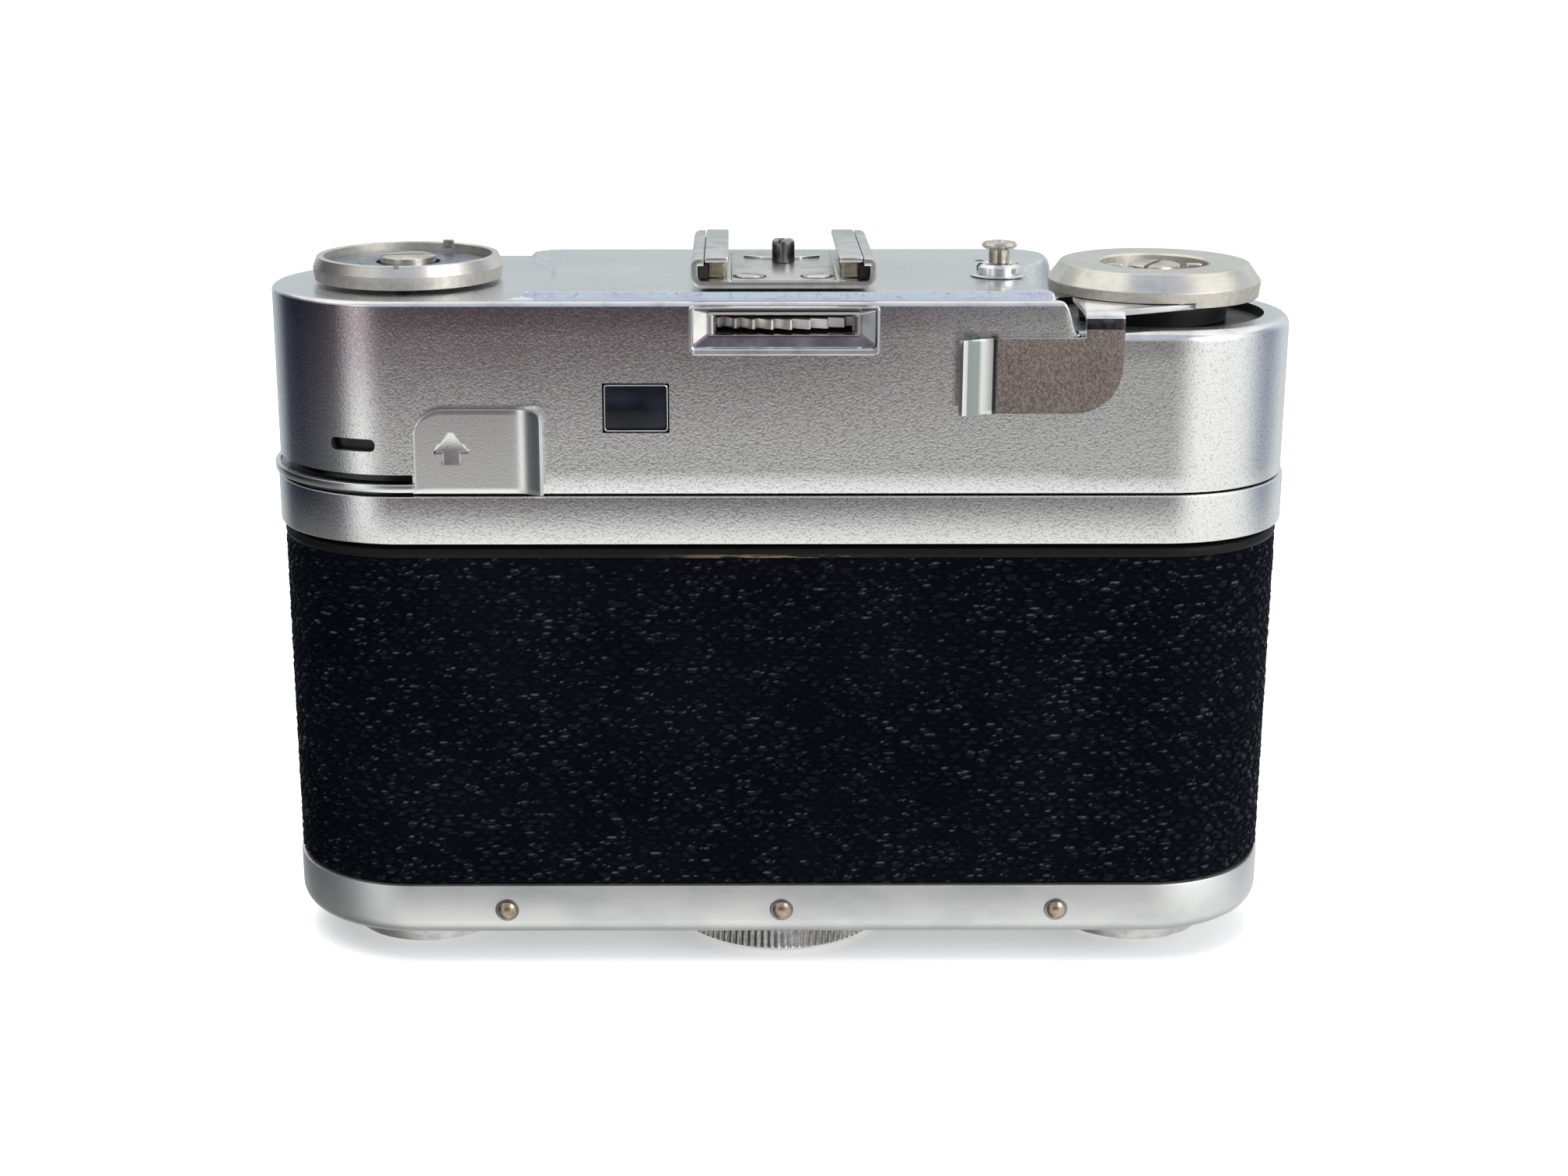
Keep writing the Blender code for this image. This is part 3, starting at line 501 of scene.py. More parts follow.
def turned_metal(name, centre, colour, darker, facing="Z", roughness=0.24, rings=9.0, side=0.5):
    """Metal finished on a lathe: fine rings, a little dirt, rims left matte, and painted shade darkening the
    faces that look out sideways from the axis.
    """
    look = Look(name)
    radius, angle = look.polar(centre, facing)
    join = look.node("ShaderNodeCombineXYZ")
    look.feed(join.inputs[0], look.math("MULTIPLY", radius, rings))
    look.feed(join.inputs[1], look.math("MULTIPLY", angle, 0.35))
    axis = 2 if facing == "Z" else 1
    look.feed(join.inputs[2], look.math("MULTIPLY", look.split()[axis], rings / MM))
    lines = look.noise(1.0, 3, 0.6, place=join.outputs[0])
    dirt = look.noise(420, 4, 0.65)
    speck = look.noise(1500, 3, 0.6)
    shade = look.mix(look.remap(dirt, 0.42, 0.75, 0, 0.6), colour, darker)
    shade = look.mix(look.remap(lines, 0.3, 0.7, 0.0, 0.25), shade, darker)
    # Painted shade: faces that look out sideways from the axis get a darker colour, broken up by specks;
    # their higher roughness is the real matte finish.
    facing_out = look.node("ShaderNodeNewGeometry").outputs["Normal"]
    rim = look.remap(look.math("ABSOLUTE", look.split(facing_out)[axis]), 0.45, 0.15)
    shade = look.mix(look.math("MULTIPLY", rim, look.remap(speck, 0.35, 0.7, 0.45, 0.95)), shade, darker)
    rough = look.math("ADD", roughness, look.math("MULTIPLY", look.math("SUBTRACT", dirt, 0.4), 0.2))
    rough = look.math("MAXIMUM", rough, look.math("MULTIPLY", rim, side))
    return look.done(shade, 1.0, rough, look.bump(lines, 0.12, 0.00003))


def brushed_aluminium(name, pale=(0.76, 0.77, 0.765), dull=(0.60, 0.61, 0.62)):
    """Matte whitish aluminium with faint smudges, and painted shade darkening it round its lower edge."""
    look = Look(name)
    smudge = look.noise(70, 4, 0.6, (1, 1, 2))
    brush = look.noise(900, 3, 0.6, (1, 1, 14))
    speck = look.noise(2600, 2, 0.6)
    colour = look.mix(look.remap(smudge, 0.35, 0.75), pale, dull)
    # Painted shade: the colour darkens towards the rounded lower edge, which faces down.
    colour = look.mix(look.remap(look.split()[2], 0.0052, 0.0034, 0.0, 0.7), colour, (0.30, 0.31, 0.33))
    rough = look.math("ADD", 0.34, look.math("MULTIPLY", brush, 0.14))
    normal = look.bump(look.math("ADD", brush, speck), 0.09, 0.00004)
    return look.done(colour, 0.95, rough, normal)


def thumb_metal(name):
    """Coarsely grained plate, brownish, with a polished curl along its left edge; the curl's light and dark
    bands are painted reflection, and a near-black line where it meets the plate is painted shade.
    """
    look = Look(name)
    grit = look.noise(3600, 3, 0.62)
    fine = look.noise(6000, 2, 0.5)
    cloud = look.noise(260, 2, 0.5)
    x = look.split()[0]
    shine = look.remap(x, 0.02300, 0.02275)
    sand = look.mix(look.remap(grit, 0.36, 0.66), (0.25, 0.21, 0.195), (0.13, 0.108, 0.10))
    sand = look.mix(look.remap(cloud, 0.35, 0.7, 0, 0.18), sand, (0.34, 0.29, 0.26))
    # Painted reflection on the curl: a bright left edge, a dark band and a pale band, then a near-black
    # painted shade line at the crease into the plate.
    curl = look.mix(look.remap(x, 0.02085, 0.02135), (0.30, 0.34, 0.34), (0.72, 0.73, 0.71))
    curl = look.mix(look.remap(x, 0.01975, 0.01955), curl, (0.80, 0.80, 0.78))
    colour = look.mix(look.remap(x, 0.02240, 0.02255), curl, (0.05, 0.055, 0.06))
    colour = look.mix(shine, sand, colour)
    rough = look.mix(shine, (0.36, 0.36, 0.36), (0.22, 0.22, 0.22))
    height = look.math("ADD", grit, look.math("MULTIPLY", fine, 0.3))
    strength = look.math("MULTIPLY", height, look.math("SUBTRACT", 1.0, shine))
    return look.done(colour, 1.0, rough, look.bump(strength, 0.9, 0.00016))


def leather_look(name):
    """Near-black grained leathercloth: thin bluish glints along the pebbles' upper edges are painted
    highlights in its colour.
    """
    look = Look(name)
    height = look.node("ShaderNodeAttribute", attribute_name="grain").outputs["Fac"]
    glint = look.node("ShaderNodeAttribute", attribute_name="glint").outputs["Fac"]
    tops = look.remap(height, 0.60, 1.0)
    fine = look.noise(2600, 3, 0.6, (1, 1, 1.8))
    cloud = look.noise(110, 2, 0.5)
    # Painted highlight: the glint attribute lightens the colour along the pebbles' upper edges.
    painted_glint = look.math("MULTIPLY", glint, look.remap(cloud, 0.30, 0.62, 0.6, 1.0))
    patch = look.noise(60, 3, 0.5)
    colour = look.mix(look.remap(patch, 0.35, 0.7), (0.0020, 0.0022, 0.0055), (0.0032, 0.0036, 0.0075))
    colour = look.mix(painted_glint, colour, (0.105, 0.11, 0.125))
    look.feed(look.shader.inputs["Specular IOR Level"],
              look.math("ADD", 0.02, look.math("MULTIPLY", tops, 0.12)))
    rough = look.math("SUBTRACT", 0.60, look.math("MULTIPLY", tops, 0.18))
    return look.done(colour, 0.0, rough, look.bump(fine, 0.35, 0.00005))


def black_paint(name, roughness=0.38):
    look = Look(name)
    haze = look.noise(240, 4, 0.6)
    colour = look.mix(haze, (0.006, 0.006, 0.007), (0.020, 0.020, 0.022))
    return look.done(colour, 0.0, look.remap(haze, 0.2, 0.8, roughness - 0.08, roughness + 0.12),
                     look.bump(look.noise(1800, 2), 0.06, 0.00003))


def lip_look(name):
    """Matte black lip, its lower edge rubbed through to brown near the middle of the back."""
    look = Look(name)
    x, y, z = look.split()
    haze = look.noise(240, 4, 0.6)
    scratch = look.noise(420, 3, 0.6, (1, 1, 9))
    near = look.math("MULTIPLY", look.remap(look.math("ABSOLUTE", look.math("ADD", x, 0.002)), 0.014, 0.004),
                     look.remap(y, -0.0146, -0.0149))
    low_edge = look.math("MULTIPLY", look.remap(z, 0.04925, 0.04895), look.remap(scratch, 0.47, 0.56))
    rubbed = look.math("MULTIPLY", near, low_edge)
    colour = look.mix(haze, (0.0025, 0.0025, 0.003), (0.008, 0.008, 0.009))
    colour = look.mix(rubbed, colour, (0.22, 0.17, 0.085))
    look.shader.inputs["Specular IOR Level"].default_value = 0.18
    return look.done(colour, 0.0, look.remap(haze, 0.2, 0.8, 0.42, 0.60))


def plain_metal(name, colour, darker, roughness=0.32, scale=420):
    look = Look(name)
    dirt = look.noise(scale, 4, 0.65)
    fine = look.noise(scale * 6, 2, 0.5, (1, 1, 3))
    shade = look.mix(look.remap(dirt, 0.35, 0.75), colour, darker)
    rough = look.math("ADD", roughness, look.math("MULTIPLY", look.math("SUBTRACT", dirt, 0.5), 0.25))
    return look.done(shade, 1.0, rough, look.bump(fine, 0.12, 0.00003))


def dark_glass(name, deep=(0.004, 0.005, 0.010), pale=(0.022, 0.026, 0.042)):
    """Glass over a dark finder: glossy, with a faint inner gradient."""
    look = Look(name)
    inner = look.remap(look.noise(140, 2, 0.5, (1, 1, 2)), 0.35, 0.75)
    colour = look.mix(inner, deep, pale)
    look.shader.inputs["Coat Weight"].default_value = 0.15
    look.shader.inputs["Specular IOR Level"].default_value = 0.2
    look.shader.inputs["Coat Roughness"].default_value = 0.02
    return look.done(colour, 0.0, look.remap(inner, 0, 1, 0.06, 0.14))


def lens_glass(name):
    """Coated lens: dark glass with a violet-amber bloom that follows the viewing angle."""
    look = Look(name)
    facing = look.node("ShaderNodeLayerWeight")
    facing.inputs["Blend"].default_value = 0.35
    speck = look.noise(500, 2, 0.5)
    colour = look.mix(facing.outputs["Facing"], (0.010, 0.006, 0.030), (0.10, 0.045, 0.02))
    look.shader.inputs["Coat Weight"].default_value = 1.0
    look.shader.inputs["Coat Tint"].default_value = (0.72, 0.66, 1.0, 1.0)
    look.shader.inputs["Coat Roughness"].default_value = 0.01
    return look.done(colour, 0.0, look.remap(speck, 0, 1, 0.03, 0.06))


CHROME = satin_chrome("housing_chrome")
RING_CHROME = satin_chrome("ring_chrome", painted_reflection=(0.58, 0.55, 0.58), low=49.0, high=60.0, amount=0.5)
DECK = deck_metal("deck_chrome")
POLISHED = polished_chrome("polished_chrome")
IRIDESCENT = iridescent_chrome("iridescent_chrome")
SHOE_METAL = plain_metal("shoe_metal", (0.78, 0.78, 0.77), (0.52, 0.51, 0.49), 0.26)
ALUMINIUM = brushed_aluminium("base_aluminium")
THUMB = thumb_metal("thumb_metal")
LEATHER = leather_look("leather")
BLACK = black_paint("black_paint")
BRASS = plain_metal("brass", (0.66, 0.50, 0.26), (0.34, 0.24, 0.12))
WORN_BRASS = plain_metal("worn_brass", (0.52, 0.42, 0.31), (0.22, 0.16, 0.11), 0.28, 700)
STEEL = plain_metal("spring_steel", (0.60, 0.56, 0.42), (0.30, 0.27, 0.18), 0.30)
DARK_STEEL = plain_metal("dark_steel", (0.30, 0.30, 0.31), (0.12, 0.12, 0.12), 0.28)
NICKEL = plain_metal("nickel", (0.76, 0.73, 0.66), (0.46, 0.42, 0.36), 0.24)
GLASS = dark_glass("finder_glass")
LENS_GLASS = lens_glass("lens_glass")
REWIND_CENTRE, ADVANCE_CENTRE, LENS_CENTRE = (-SPOOL_X, 0, 0), (SPOOL_X, 0, 0), (0, 0, LENS_Z)
REWIND_METAL = turned_metal("rewind_metal", REWIND_CENTRE, (0.80, 0.78, 0.72), (0.55, 0.52, 0.47))
ADVANCE_METAL = turned_metal("advance_metal", ADVANCE_CENTRE, (0.80, 0.78, 0.72), (0.55, 0.52, 0.47))
LENS_METAL = turned_metal("lens_metal", LENS_CENTRE, (0.80, 0.80, 0.80), (0.55, 0.55, 0.55), "Y")
FOOT_METAL = plain_metal("foot_aluminium", (0.62, 0.62, 0.62), (0.42, 0.42, 0.42), 0.34)


# ---------------------------------------------------------------- top housing

DECK_LEFT, DECK_BOW = -26.2, 0.0121
DECK_ARC, DECK_ARC_R = (51.5, -3.3), 23.55
DECK_CORNER, DECK_CORNER_R = (26.5, 15.0), 6.1
FAR_CORNER, FAR_CORNER_R = (-25.6, 15.4), 4.9
PANEL_Y = low_high("viewfinder_window")[1][1] + 0.25
PANEL_OUT, PANEL_ROOT_X, PANEL_RUN = PANEL_Y - HOUSING_R, 38.5, 4.5
DECK_BACK, DECK_FRONT = -13.5, PANEL_Y - 0.9
EDGE_LEFT, EDGE_RIGHT = 0.6, 1.2
WELL_R, WELL_FLOOR = 12.5, 73.05


def plateau(x, y):
    """Height of the pressed top before its outer edge is rounded off."""
    inside_left = x - (DECK_LEFT - DECK_BOW * y * y)
    off_corner = np.hypot(np.maximum(FAR_CORNER[0] - x, 0), np.maximum(y - FAR_CORNER[1], 0))
    inside_left = np.where(y > FAR_CORNER[1], np.minimum(inside_left, FAR_CORNER_R - off_corner),
                           inside_left)
    soft_left = np.where(inside_left < 0.8, 0.55 * inside_left, inside_left)
    near = smoothstep((-y - 10.5) / 4.5)
    inside_right = np.hypot(x - DECK_ARC[0], y - DECK_ARC[1]) - DECK_ARC_R + 0.65 * near
    off_corner = np.hypot(np.maximum(x - DECK_CORNER[0], 0), np.maximum(y - DECK_CORNER[1], 0))
    inside_right = np.where(y > 9.4, np.minimum(inside_right, DECK_CORNER_R - off_corner), inside_right)
    inside = np.minimum.reduce([soft_left, inside_right, y - DECK_BACK, DECK_FRONT - y])
    deck = smoothstep((inside + 0.1) / 0.5)
    level = SHOULDER_LEFT + (DECK_TOP - SHOULDER_LEFT) * deck
    tail = smoothstep((inside_left + 2.6) / 2.4) * (1 - smoothstep((inside_left - 0.6) / 1.2))
    bead = np.exp(-(((y - DECK_BACK - 0.1) / (0.14 + 0.3 * tail)) ** 2)) * tail
    level = level + 0.24 * bead
    width = 1.1 + 0.45 * near
    step = smoothstep(inside_right / width)
    return SHOULDER_RIGHT + (level - SHOULDER_RIGHT) * step, step


def panel_reach(centres, outward):
    """How far the front panel stands out of the stadium at each station."""
    share = np.clip((PANEL_ROOT_X - np.abs(centres[:, 0])) / PANEL_RUN, 0, 1)
    rise = PANEL_OUT * (1 - np.cos(math.pi * share)) / 2
    return np.where(outward[:, 1] > 0.999, rise, 0.0)


def housing_mesh():
    centres, outward = stadium_stations(420, 72)
    wall = 0.8
    rings = []
    reach = HOUSING_R + panel_reach(centres, outward)
    boundary = centres + outward * reach[:, None]
    top, step = plateau(boundary[:, 0], boundary[:, 1])
    edge = EDGE_RIGHT + (EDGE_LEFT - EDGE_RIGHT) * step

    def ring(inset, height):
        flat = centres + outward * (reach - inset)[:, None]
        rings.append(np.column_stack([flat, height * np.ones(len(flat))]))

    for height in (72.6, HOUSING_LOW):
        flat = centres + outward * (HOUSING_R - wall)
        rings.append(np.column_stack([flat, np.full(len(flat), height)]))
    for t in np.linspace(0, 1, 5):
        ring(0.2 * (1 - math.sin(t * math.pi / 2)), HOUSING_LOW + 0.2 * (1 - math.cos(t * math.pi / 2)))
    for t in np.linspace(0.12, 1, 7):
        ring(0.0, HOUSING_LOW + 0.2 + (top - edge - HOUSING_LOW - 0.2) * t)
    for t in np.linspace(0, 1, 9)[1:]:
        angle = t * math.pi / 2
        inset = edge * (1 - math.cos(angle))
        flat = centres + outward * (reach - inset)[:, None]
        level, _ = plateau(flat[:, 0], flat[:, 1])
        height = top - edge + edge * math.sin(angle)
        height = height + (level - top) * t
        rings.append(np.column_stack([flat, height]))
    for t in np.linspace(0, 1, 72)[1:] ** 1.5:
        flat = centres + outward * ((reach - edge) * (1 - t))[:, None]
        level, _ = plateau(flat[:, 0], flat[:, 1])
        rings.append(np.column_stack([flat, level]))
    count = len(centres)
    verts = np.concatenate(rings)
    faces = grid_faces(len(rings), count, False, True)
    faces.append(tuple(range(count)))
    return verts, faces


def build_housing():
    housing = piece("top_housing_shell", *housing_mesh(), CHROME, "top_housing", sharp=40)
    x = -SPOOL_X
    slot = fillet([(-2.65, 60.8), (2.65, 60.8), (2.65, 62.2), (-2.65, 62.2)], 0.69, 6, True)
    end_slot = slab_tool(slot, -20, -10, "Y")
    turn = Matrix.Rotation(math.radians(-19), 4, "Z")
    end_slot.data.transform(Matrix.Translation((x * MM, 0, 0)) @ turn)
    cutters = [
        box_tool((-19.75, -17, 62.95), (-12.45, -13, 68.45)),
        cylinder_tool(15.6, 73.9, 76.15, (0, COUNTER_Y), steps=96),
        box_tool((-3.2, 12, 73.9), (3.2, 24, 76.1)),
        box_tool((-22.6, 13, 60.9), (-9.4, 24, 70.6)),
        box_tool((12.4, 13, 62.7), (18.6, 24, 68.9)),
        cylinder_tool(WELL_R, WELL_FLOOR, 74.5, (SPOOL_X, 0), steps=96),
        box_tool((-62, -20, 50), (-40.65, 14.2, 58.25)),
        cylinder_tool(2.2, 70, 90, (-SPOOL_X, 0)),
        cylinder_tool(3.4, 70, 90, (SPOOL_X, 0)),
        cylinder_tool(1.7, 70, 90, (RELEASE_X, RELEASE_Y)),
        cylinder_tool(0.55, 77.2, 90, (23.4, 9.8), steps=24),
        end_slot,
    ]
    boolean(housing, cutters, "DIFFERENCE")
    housing.data.shade_smooth()
    housing.data.set_sharp_from_angle(angle=math.radians(40))
    paint_top(housing)


def paint_top(housing):
    """Top faces take the smoother deck finish, and ledges and rounded edges the polished one."""
    deck, polished, black, iridescent = more_looks(housing, DECK, POLISHED, BLACK, IRIDESCENT)
    for face in housing.data.polygons:
        x, y, z = np.array(face.center) / MM
        nz = face.normal.z
        # Painted shade: the well's faces right of x = 31 take black paint for the shade under the advance
        # knob and lever.
        if math.hypot(x - SPOOL_X, y) < WELL_R + 0.02 and z < SHOULDER_RIGHT - 0.02:
            face.material_index = black if x > 31.0 else deck
        elif z > SHOULDER_LEFT + 0.1 and y < DECK_BACK + 0.6 and 0.2 < nz < 0.93:
            face.material_index = iridescent
        elif z > 73.0 and nz > 0.93:
            face.material_index = deck
        elif z > 73.0 and nz > 0.25:
            face.material_index = polished


def more_looks(obj, *looks):
    """Adds looks after the first one and returns their slot numbers."""
    for look in looks:
        obj.data.materials.append(look)
    return range(1, len(looks) + 1)


def soften(obj, width, segments=2, angle=35):
    step = obj.modifiers.new("edges", "BEVEL")
    step.width, step.segments, step.limit_method = width * MM, segments, "ANGLE"
    step.angle_limit = math.radians(angle)
    return bake(obj)


def finish_piece(obj, name, look, node=None, sharp=32, **more):
    """Names a built tool object and makes it a piece."""
    obj.name = name
    return adopt(obj, look, node, more.get("stands_for", ()), more.get("body"), sharp)


def bent_sheet(path, low, high, thickness, facing, rows=12):
    """A bent strip: the path is its section, and low(t) and high(t) limit it across at share t."""
    path = np.array(path, float)
    steps = np.gradient(path, axis=0)
    steps /= np.linalg.norm(steps, axis=1)[:, None]
    normal = np.column_stack([-steps[:, 1], steps[:, 0]])
    lengths = np.concatenate([[0], np.cumsum(np.linalg.norm(np.diff(path, axis=0), axis=1))])
    share = lengths / lengths[-1]
    first, second, third = AXES[facing]
    layers = []
    for side in (0.5, -0.5):
        for k in range(rows):
            t = k / (rows - 1)
            across = np.array([low(u) + (high(u) - low(u)) * t for u in share])
            full = np.zeros((len(path), 3))
            flat = path + normal * (thickness * side)
            full[:, first], full[:, second], full[:, third] = flat[:, 0], flat[:, 1], across
            layers.append(full)
        if side > 0:
            front = list(layers)
    rings = front + layers[rows:][::-1]
    count = len(path)
    verts = np.concatenate(rings)
    faces = grid_faces(len(rings), count, True, False)
    total = len(rings)
    for k in range(rows - 1):
        for column in (0, count - 1):
            a, b = k * count + column, (k + 1) * count + column
            c, d = (total - 2 - k) * count + column, (total - 1 - k) * count + column
            faces.append((a, b, c, d))
    return tool(verts, faces)


def loft(loops, closed=True):
    """Joins loops of equal length, each an array of full points."""
    count = len(loops[0])
    return np.concatenate(loops), grid_faces(len(loops), count, closed, True)


def rounded_loop(half_x, low, high, radius, y, count=8):
    """A rounded rectangle in a plane of constant y."""
    points = []
    for cx, cz, start in ((half_x, low, 270), (half_x, high, 0), (-half_x, high, 90), (-half_x, low, 180)):
        sx, sz = (1 if cx > 0 else -1), (-1 if cz == low else 1)
        centre = (cx - sx * radius, cz - sz * radius)
        for a in np.radians(np.linspace(start, start + 90, count)):
            points.append((centre[0] + radius * math.cos(a), y, centre[1] + radius * math.sin(a)))
    return np.array(points)


# ---------------------------------------------------------------- leather


def pebbles(s, z, width, height, seed):
    """Lens-shaped grain: 0 in the valleys, 1 on the tops, from jittered cells."""
    rng = np.random.default_rng(seed)
    warp = wave_noise(s / 6.0, z / 4.0, seed + 1)
    u = s / width + 0.35 * warp
    v = z / height + 0.45 * wave_noise(s / 5.0 + 40, z / 3.0, seed + 2)
    size = 1024
    jitter_u, jitter_v, lift = rng.random((size, size)), rng.random((size, size)), rng.random((size, size))
    row = np.floor(v).astype(int)
    first, second, tall = np.full(s.shape, 9.0), np.full(s.shape, 9.0), np.zeros(s.shape)
    for dv in (-1, 0, 1):
        rows = row + dv
        shifted = u + 0.5 * (rows % 2)
        cell = np.floor(shifted).astype(int)
        for du in (-1, 0, 1):
            cells = cell + du
            cu = cells + 0.2 + 0.6 * jitter_u[rows % size, cells % size]
            cv = rows + 0.2 + 0.6 * jitter_v[rows % size, cells % size]
            gap = np.sqrt((shifted - cu) ** 2 + (v - cv) ** 2)
            nearer = gap < first
            second = np.where(nearer, first, np.minimum(second, gap))
            tall = np.where(nearer, lift[rows % size, cells % size], tall)
            first = np.where(nearer, gap, first)
    ridge = smoothstep((second - first) / 0.42)
    return ridge * (0.62 + 0.38 * tall)


def wave_noise(u, v, seed):
    """Smooth value noise between -1 and 1."""
    rng = np.random.default_rng(seed)
    values = rng.random((64, 64)) * 2 - 1
    iu, iv = np.floor(u).astype(int), np.floor(v).astype(int)
    fu, fv = smoothstep(u - iu), smoothstep(v - iv)

    def pick(a, b):
        return values[a % 64, b % 64]

    low = pick(iu, iv) * (1 - fu) + pick(iu + 1, iv) * fu
    high = pick(iu, iv + 1) * (1 - fu) + pick(iu + 1, iv + 1) * fu
    return low * (1 - fv) + high * fv


def grain_height(s, z):
    coarse = pebbles(s, z, 1.75, 0.72, 11)
    fine = pebbles(s, z, 0.85, 0.42, 23)
    share = 0.5 + 0.5 * wave_noise(s / 9.0, z / 7.0, 5)
    return coarse * (0.72 + 0.1 * share) + fine * (0.28 - 0.1 * share)


def grain_glint(s, z):
    """Painted highlights: thin lit crescents along the pebbles' upper edges, stronger on some pebbles than
    on others.
    """
    fall = grain_height(s, z - 0.05) - grain_height(s, z + 0.10)
    some = 0.5 + 0.5 * wave_noise(s / 0.8, z / 0.34, 31)
    return smoothstep((fall - 0.30) / 0.4) * smoothstep((some - 0.50) / 0.3)


def add_grain_and_painted_glint(obj, grain, glint):
    for name, values in (("grain", grain), ("glint", glint)):
        attribute = obj.data.attributes.new(name, "FLOAT", "POINT")
        attribute.data.foreach_set("value", np.asarray(values, np.float32))


def point_field(obj, function):
    """A value at each vertex from its place in millimetres."""
    co = np.zeros(len(obj.data.vertices) * 3, np.float32)
    obj.data.vertices.foreach_get("co", co)
    return function(co.reshape(-1, 3) / MM)


GRAIN_DEPTH = 0.26


def build_back_leather():
    step_s, step_z = ((0.26, 0.15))
    along, centres, outward = wrap_stations(step_s, LEATHER_REACH)
    heights = np.arange(LEATHER_LOW, LEATHER_HIGH + step_z / 2, step_z)
    s, z = np.meshgrid(along, heights)
    h = grain_height(s, z)
    edge = np.minimum.reduce([z - LEATHER_LOW, LEATHER_HIGH - z, s - along[0], along[-1] - s])
    fade = smoothstep(edge / 0.7)
    radius = LEATHER_R - 0.05 - GRAIN_DEPTH * (1 - h * fade) + 0.06 - 0.28 * (1 - smoothstep(edge / 0.35))
    rows = [np.full(len(along), LEATHER_R - 0.95)] + list(radius) + [np.full(len(along), LEATHER_R - 0.95)]
    levels = [LEATHER_LOW] + list(heights) + [heights[-1]]
    verts = []
    for r, level in zip(rows, levels):
        flat = centres + outward * r[:, None]
        verts.append(np.column_stack([flat, np.full(len(along), level)]))
    count, total = len(along), len(rows)
    faces = grid_faces(total, count, True, False)
    faces.append(tuple(i * count for i in range(total)))
    faces.append(tuple(i * count + count - 1 for i in reversed(range(total))))
    obj = piece("leather_wrap", np.concatenate(verts), faces, LEATHER, "back_leather", sharp=75)
    blank = np.zeros((1, count))
    if len(obj.data.vertices) == (len(heights) + 2) * count:
        # The glint values are painted highlights, stored beside the grain.
        glint = grain_glint(s, z)
        add_grain_and_painted_glint(obj, *(np.concatenate([blank, values, blank]).ravel() for values in (h, glint)))


def build_front_leather():
    reach, low, high = 39.3, 10.2, 50.0
    step_s, step_z = ((0.36, 0.22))
    xs, zs = np.arange(-reach, reach + step_s / 2, step_s), np.arange(low, high + step_z / 2, step_z)
    x, z = np.meshgrid(xs, zs)
    h = grain_height(x + 300, z)
    edge = np.minimum.reduce([x + reach, reach - x, z - low, high - z])
    front = 15.25 - GRAIN_DEPTH * (1 - h * smoothstep(edge / 0.6)) - 0.25 * (1 - smoothstep(edge / 0.35))
    grid = np.stack([x, front, z], -1).reshape(-1, 3)
    back = np.stack([x, np.full(x.shape, 14.62), z], -1).reshape(-1, 3)
    rows, columns = x.shape
    faces = grid_faces(rows, columns)
    offset = rows * columns
    faces += [tuple(offset + i for i in reversed(face)) for face in grid_faces(rows, columns)]
    rim = list(range(columns)) + [i * columns + columns - 1 for i in range(1, rows)]
    rim += [(rows - 1) * columns + j for j in reversed(range(columns - 1))]
    rim += [i * columns for i in reversed(range(1, rows - 1))]
    for a, b in zip(rim, rim[1:] + rim[:1]):
        faces.append((a, b, offset + b, offset + a))
    whole = tool(np.concatenate([grid, back]), faces)
    boolean(whole, [cylinder_tool(21.0, 10, 20, (0, LENS_Z), "Y", 96)], "DIFFERENCE")
    for side, node in ((-1, "front_leather_left"), (1, "front_leather_right")):
        half = whole.copy()
        half.data = whole.data.copy()
        bpy.context.scene.collection.objects.link(half)
        edges = sorted((side * 60.0, -side * 0.01))
        boolean(half, [box_tool((edges[0], 10, 0), (edges[1], 20, 60))], "INTERSECT")
        finish_piece(half, node + "_grain", LEATHER, node, 75)
        add_grain_and_painted_glint(half, *(point_field(half,
                                      lambda p: np.where(p[:, 1] > 14.8, field(p[:, 0] + 300, p[:, 2]), 0))
                          for field in (grain_height, grain_glint)))
    bpy.data.objects.remove(whole, do_unlink=True)


def wrap_profile_piece(name, profile, reach, look, node, sharp=35, step=0.9):
    """A closed section carried along the back and both ends, its two ends capped."""
    along, centres, outward = wrap_stations(step, reach)
    verts = []
    for radius, height in profile:
        flat = centres + outward * radius
        verts.append(np.column_stack([flat, np.full(len(along), height)]))
    count, total = len(along), len(profile)
    faces = grid_faces(total, count, True, False)
    faces.append(tuple(i * count for i in range(total)))
    faces.append(tuple(i * count + count - 1 for i in reversed(range(total))))
    return piece(name, np.concatenate(verts), faces, look, node, sharp=sharp)


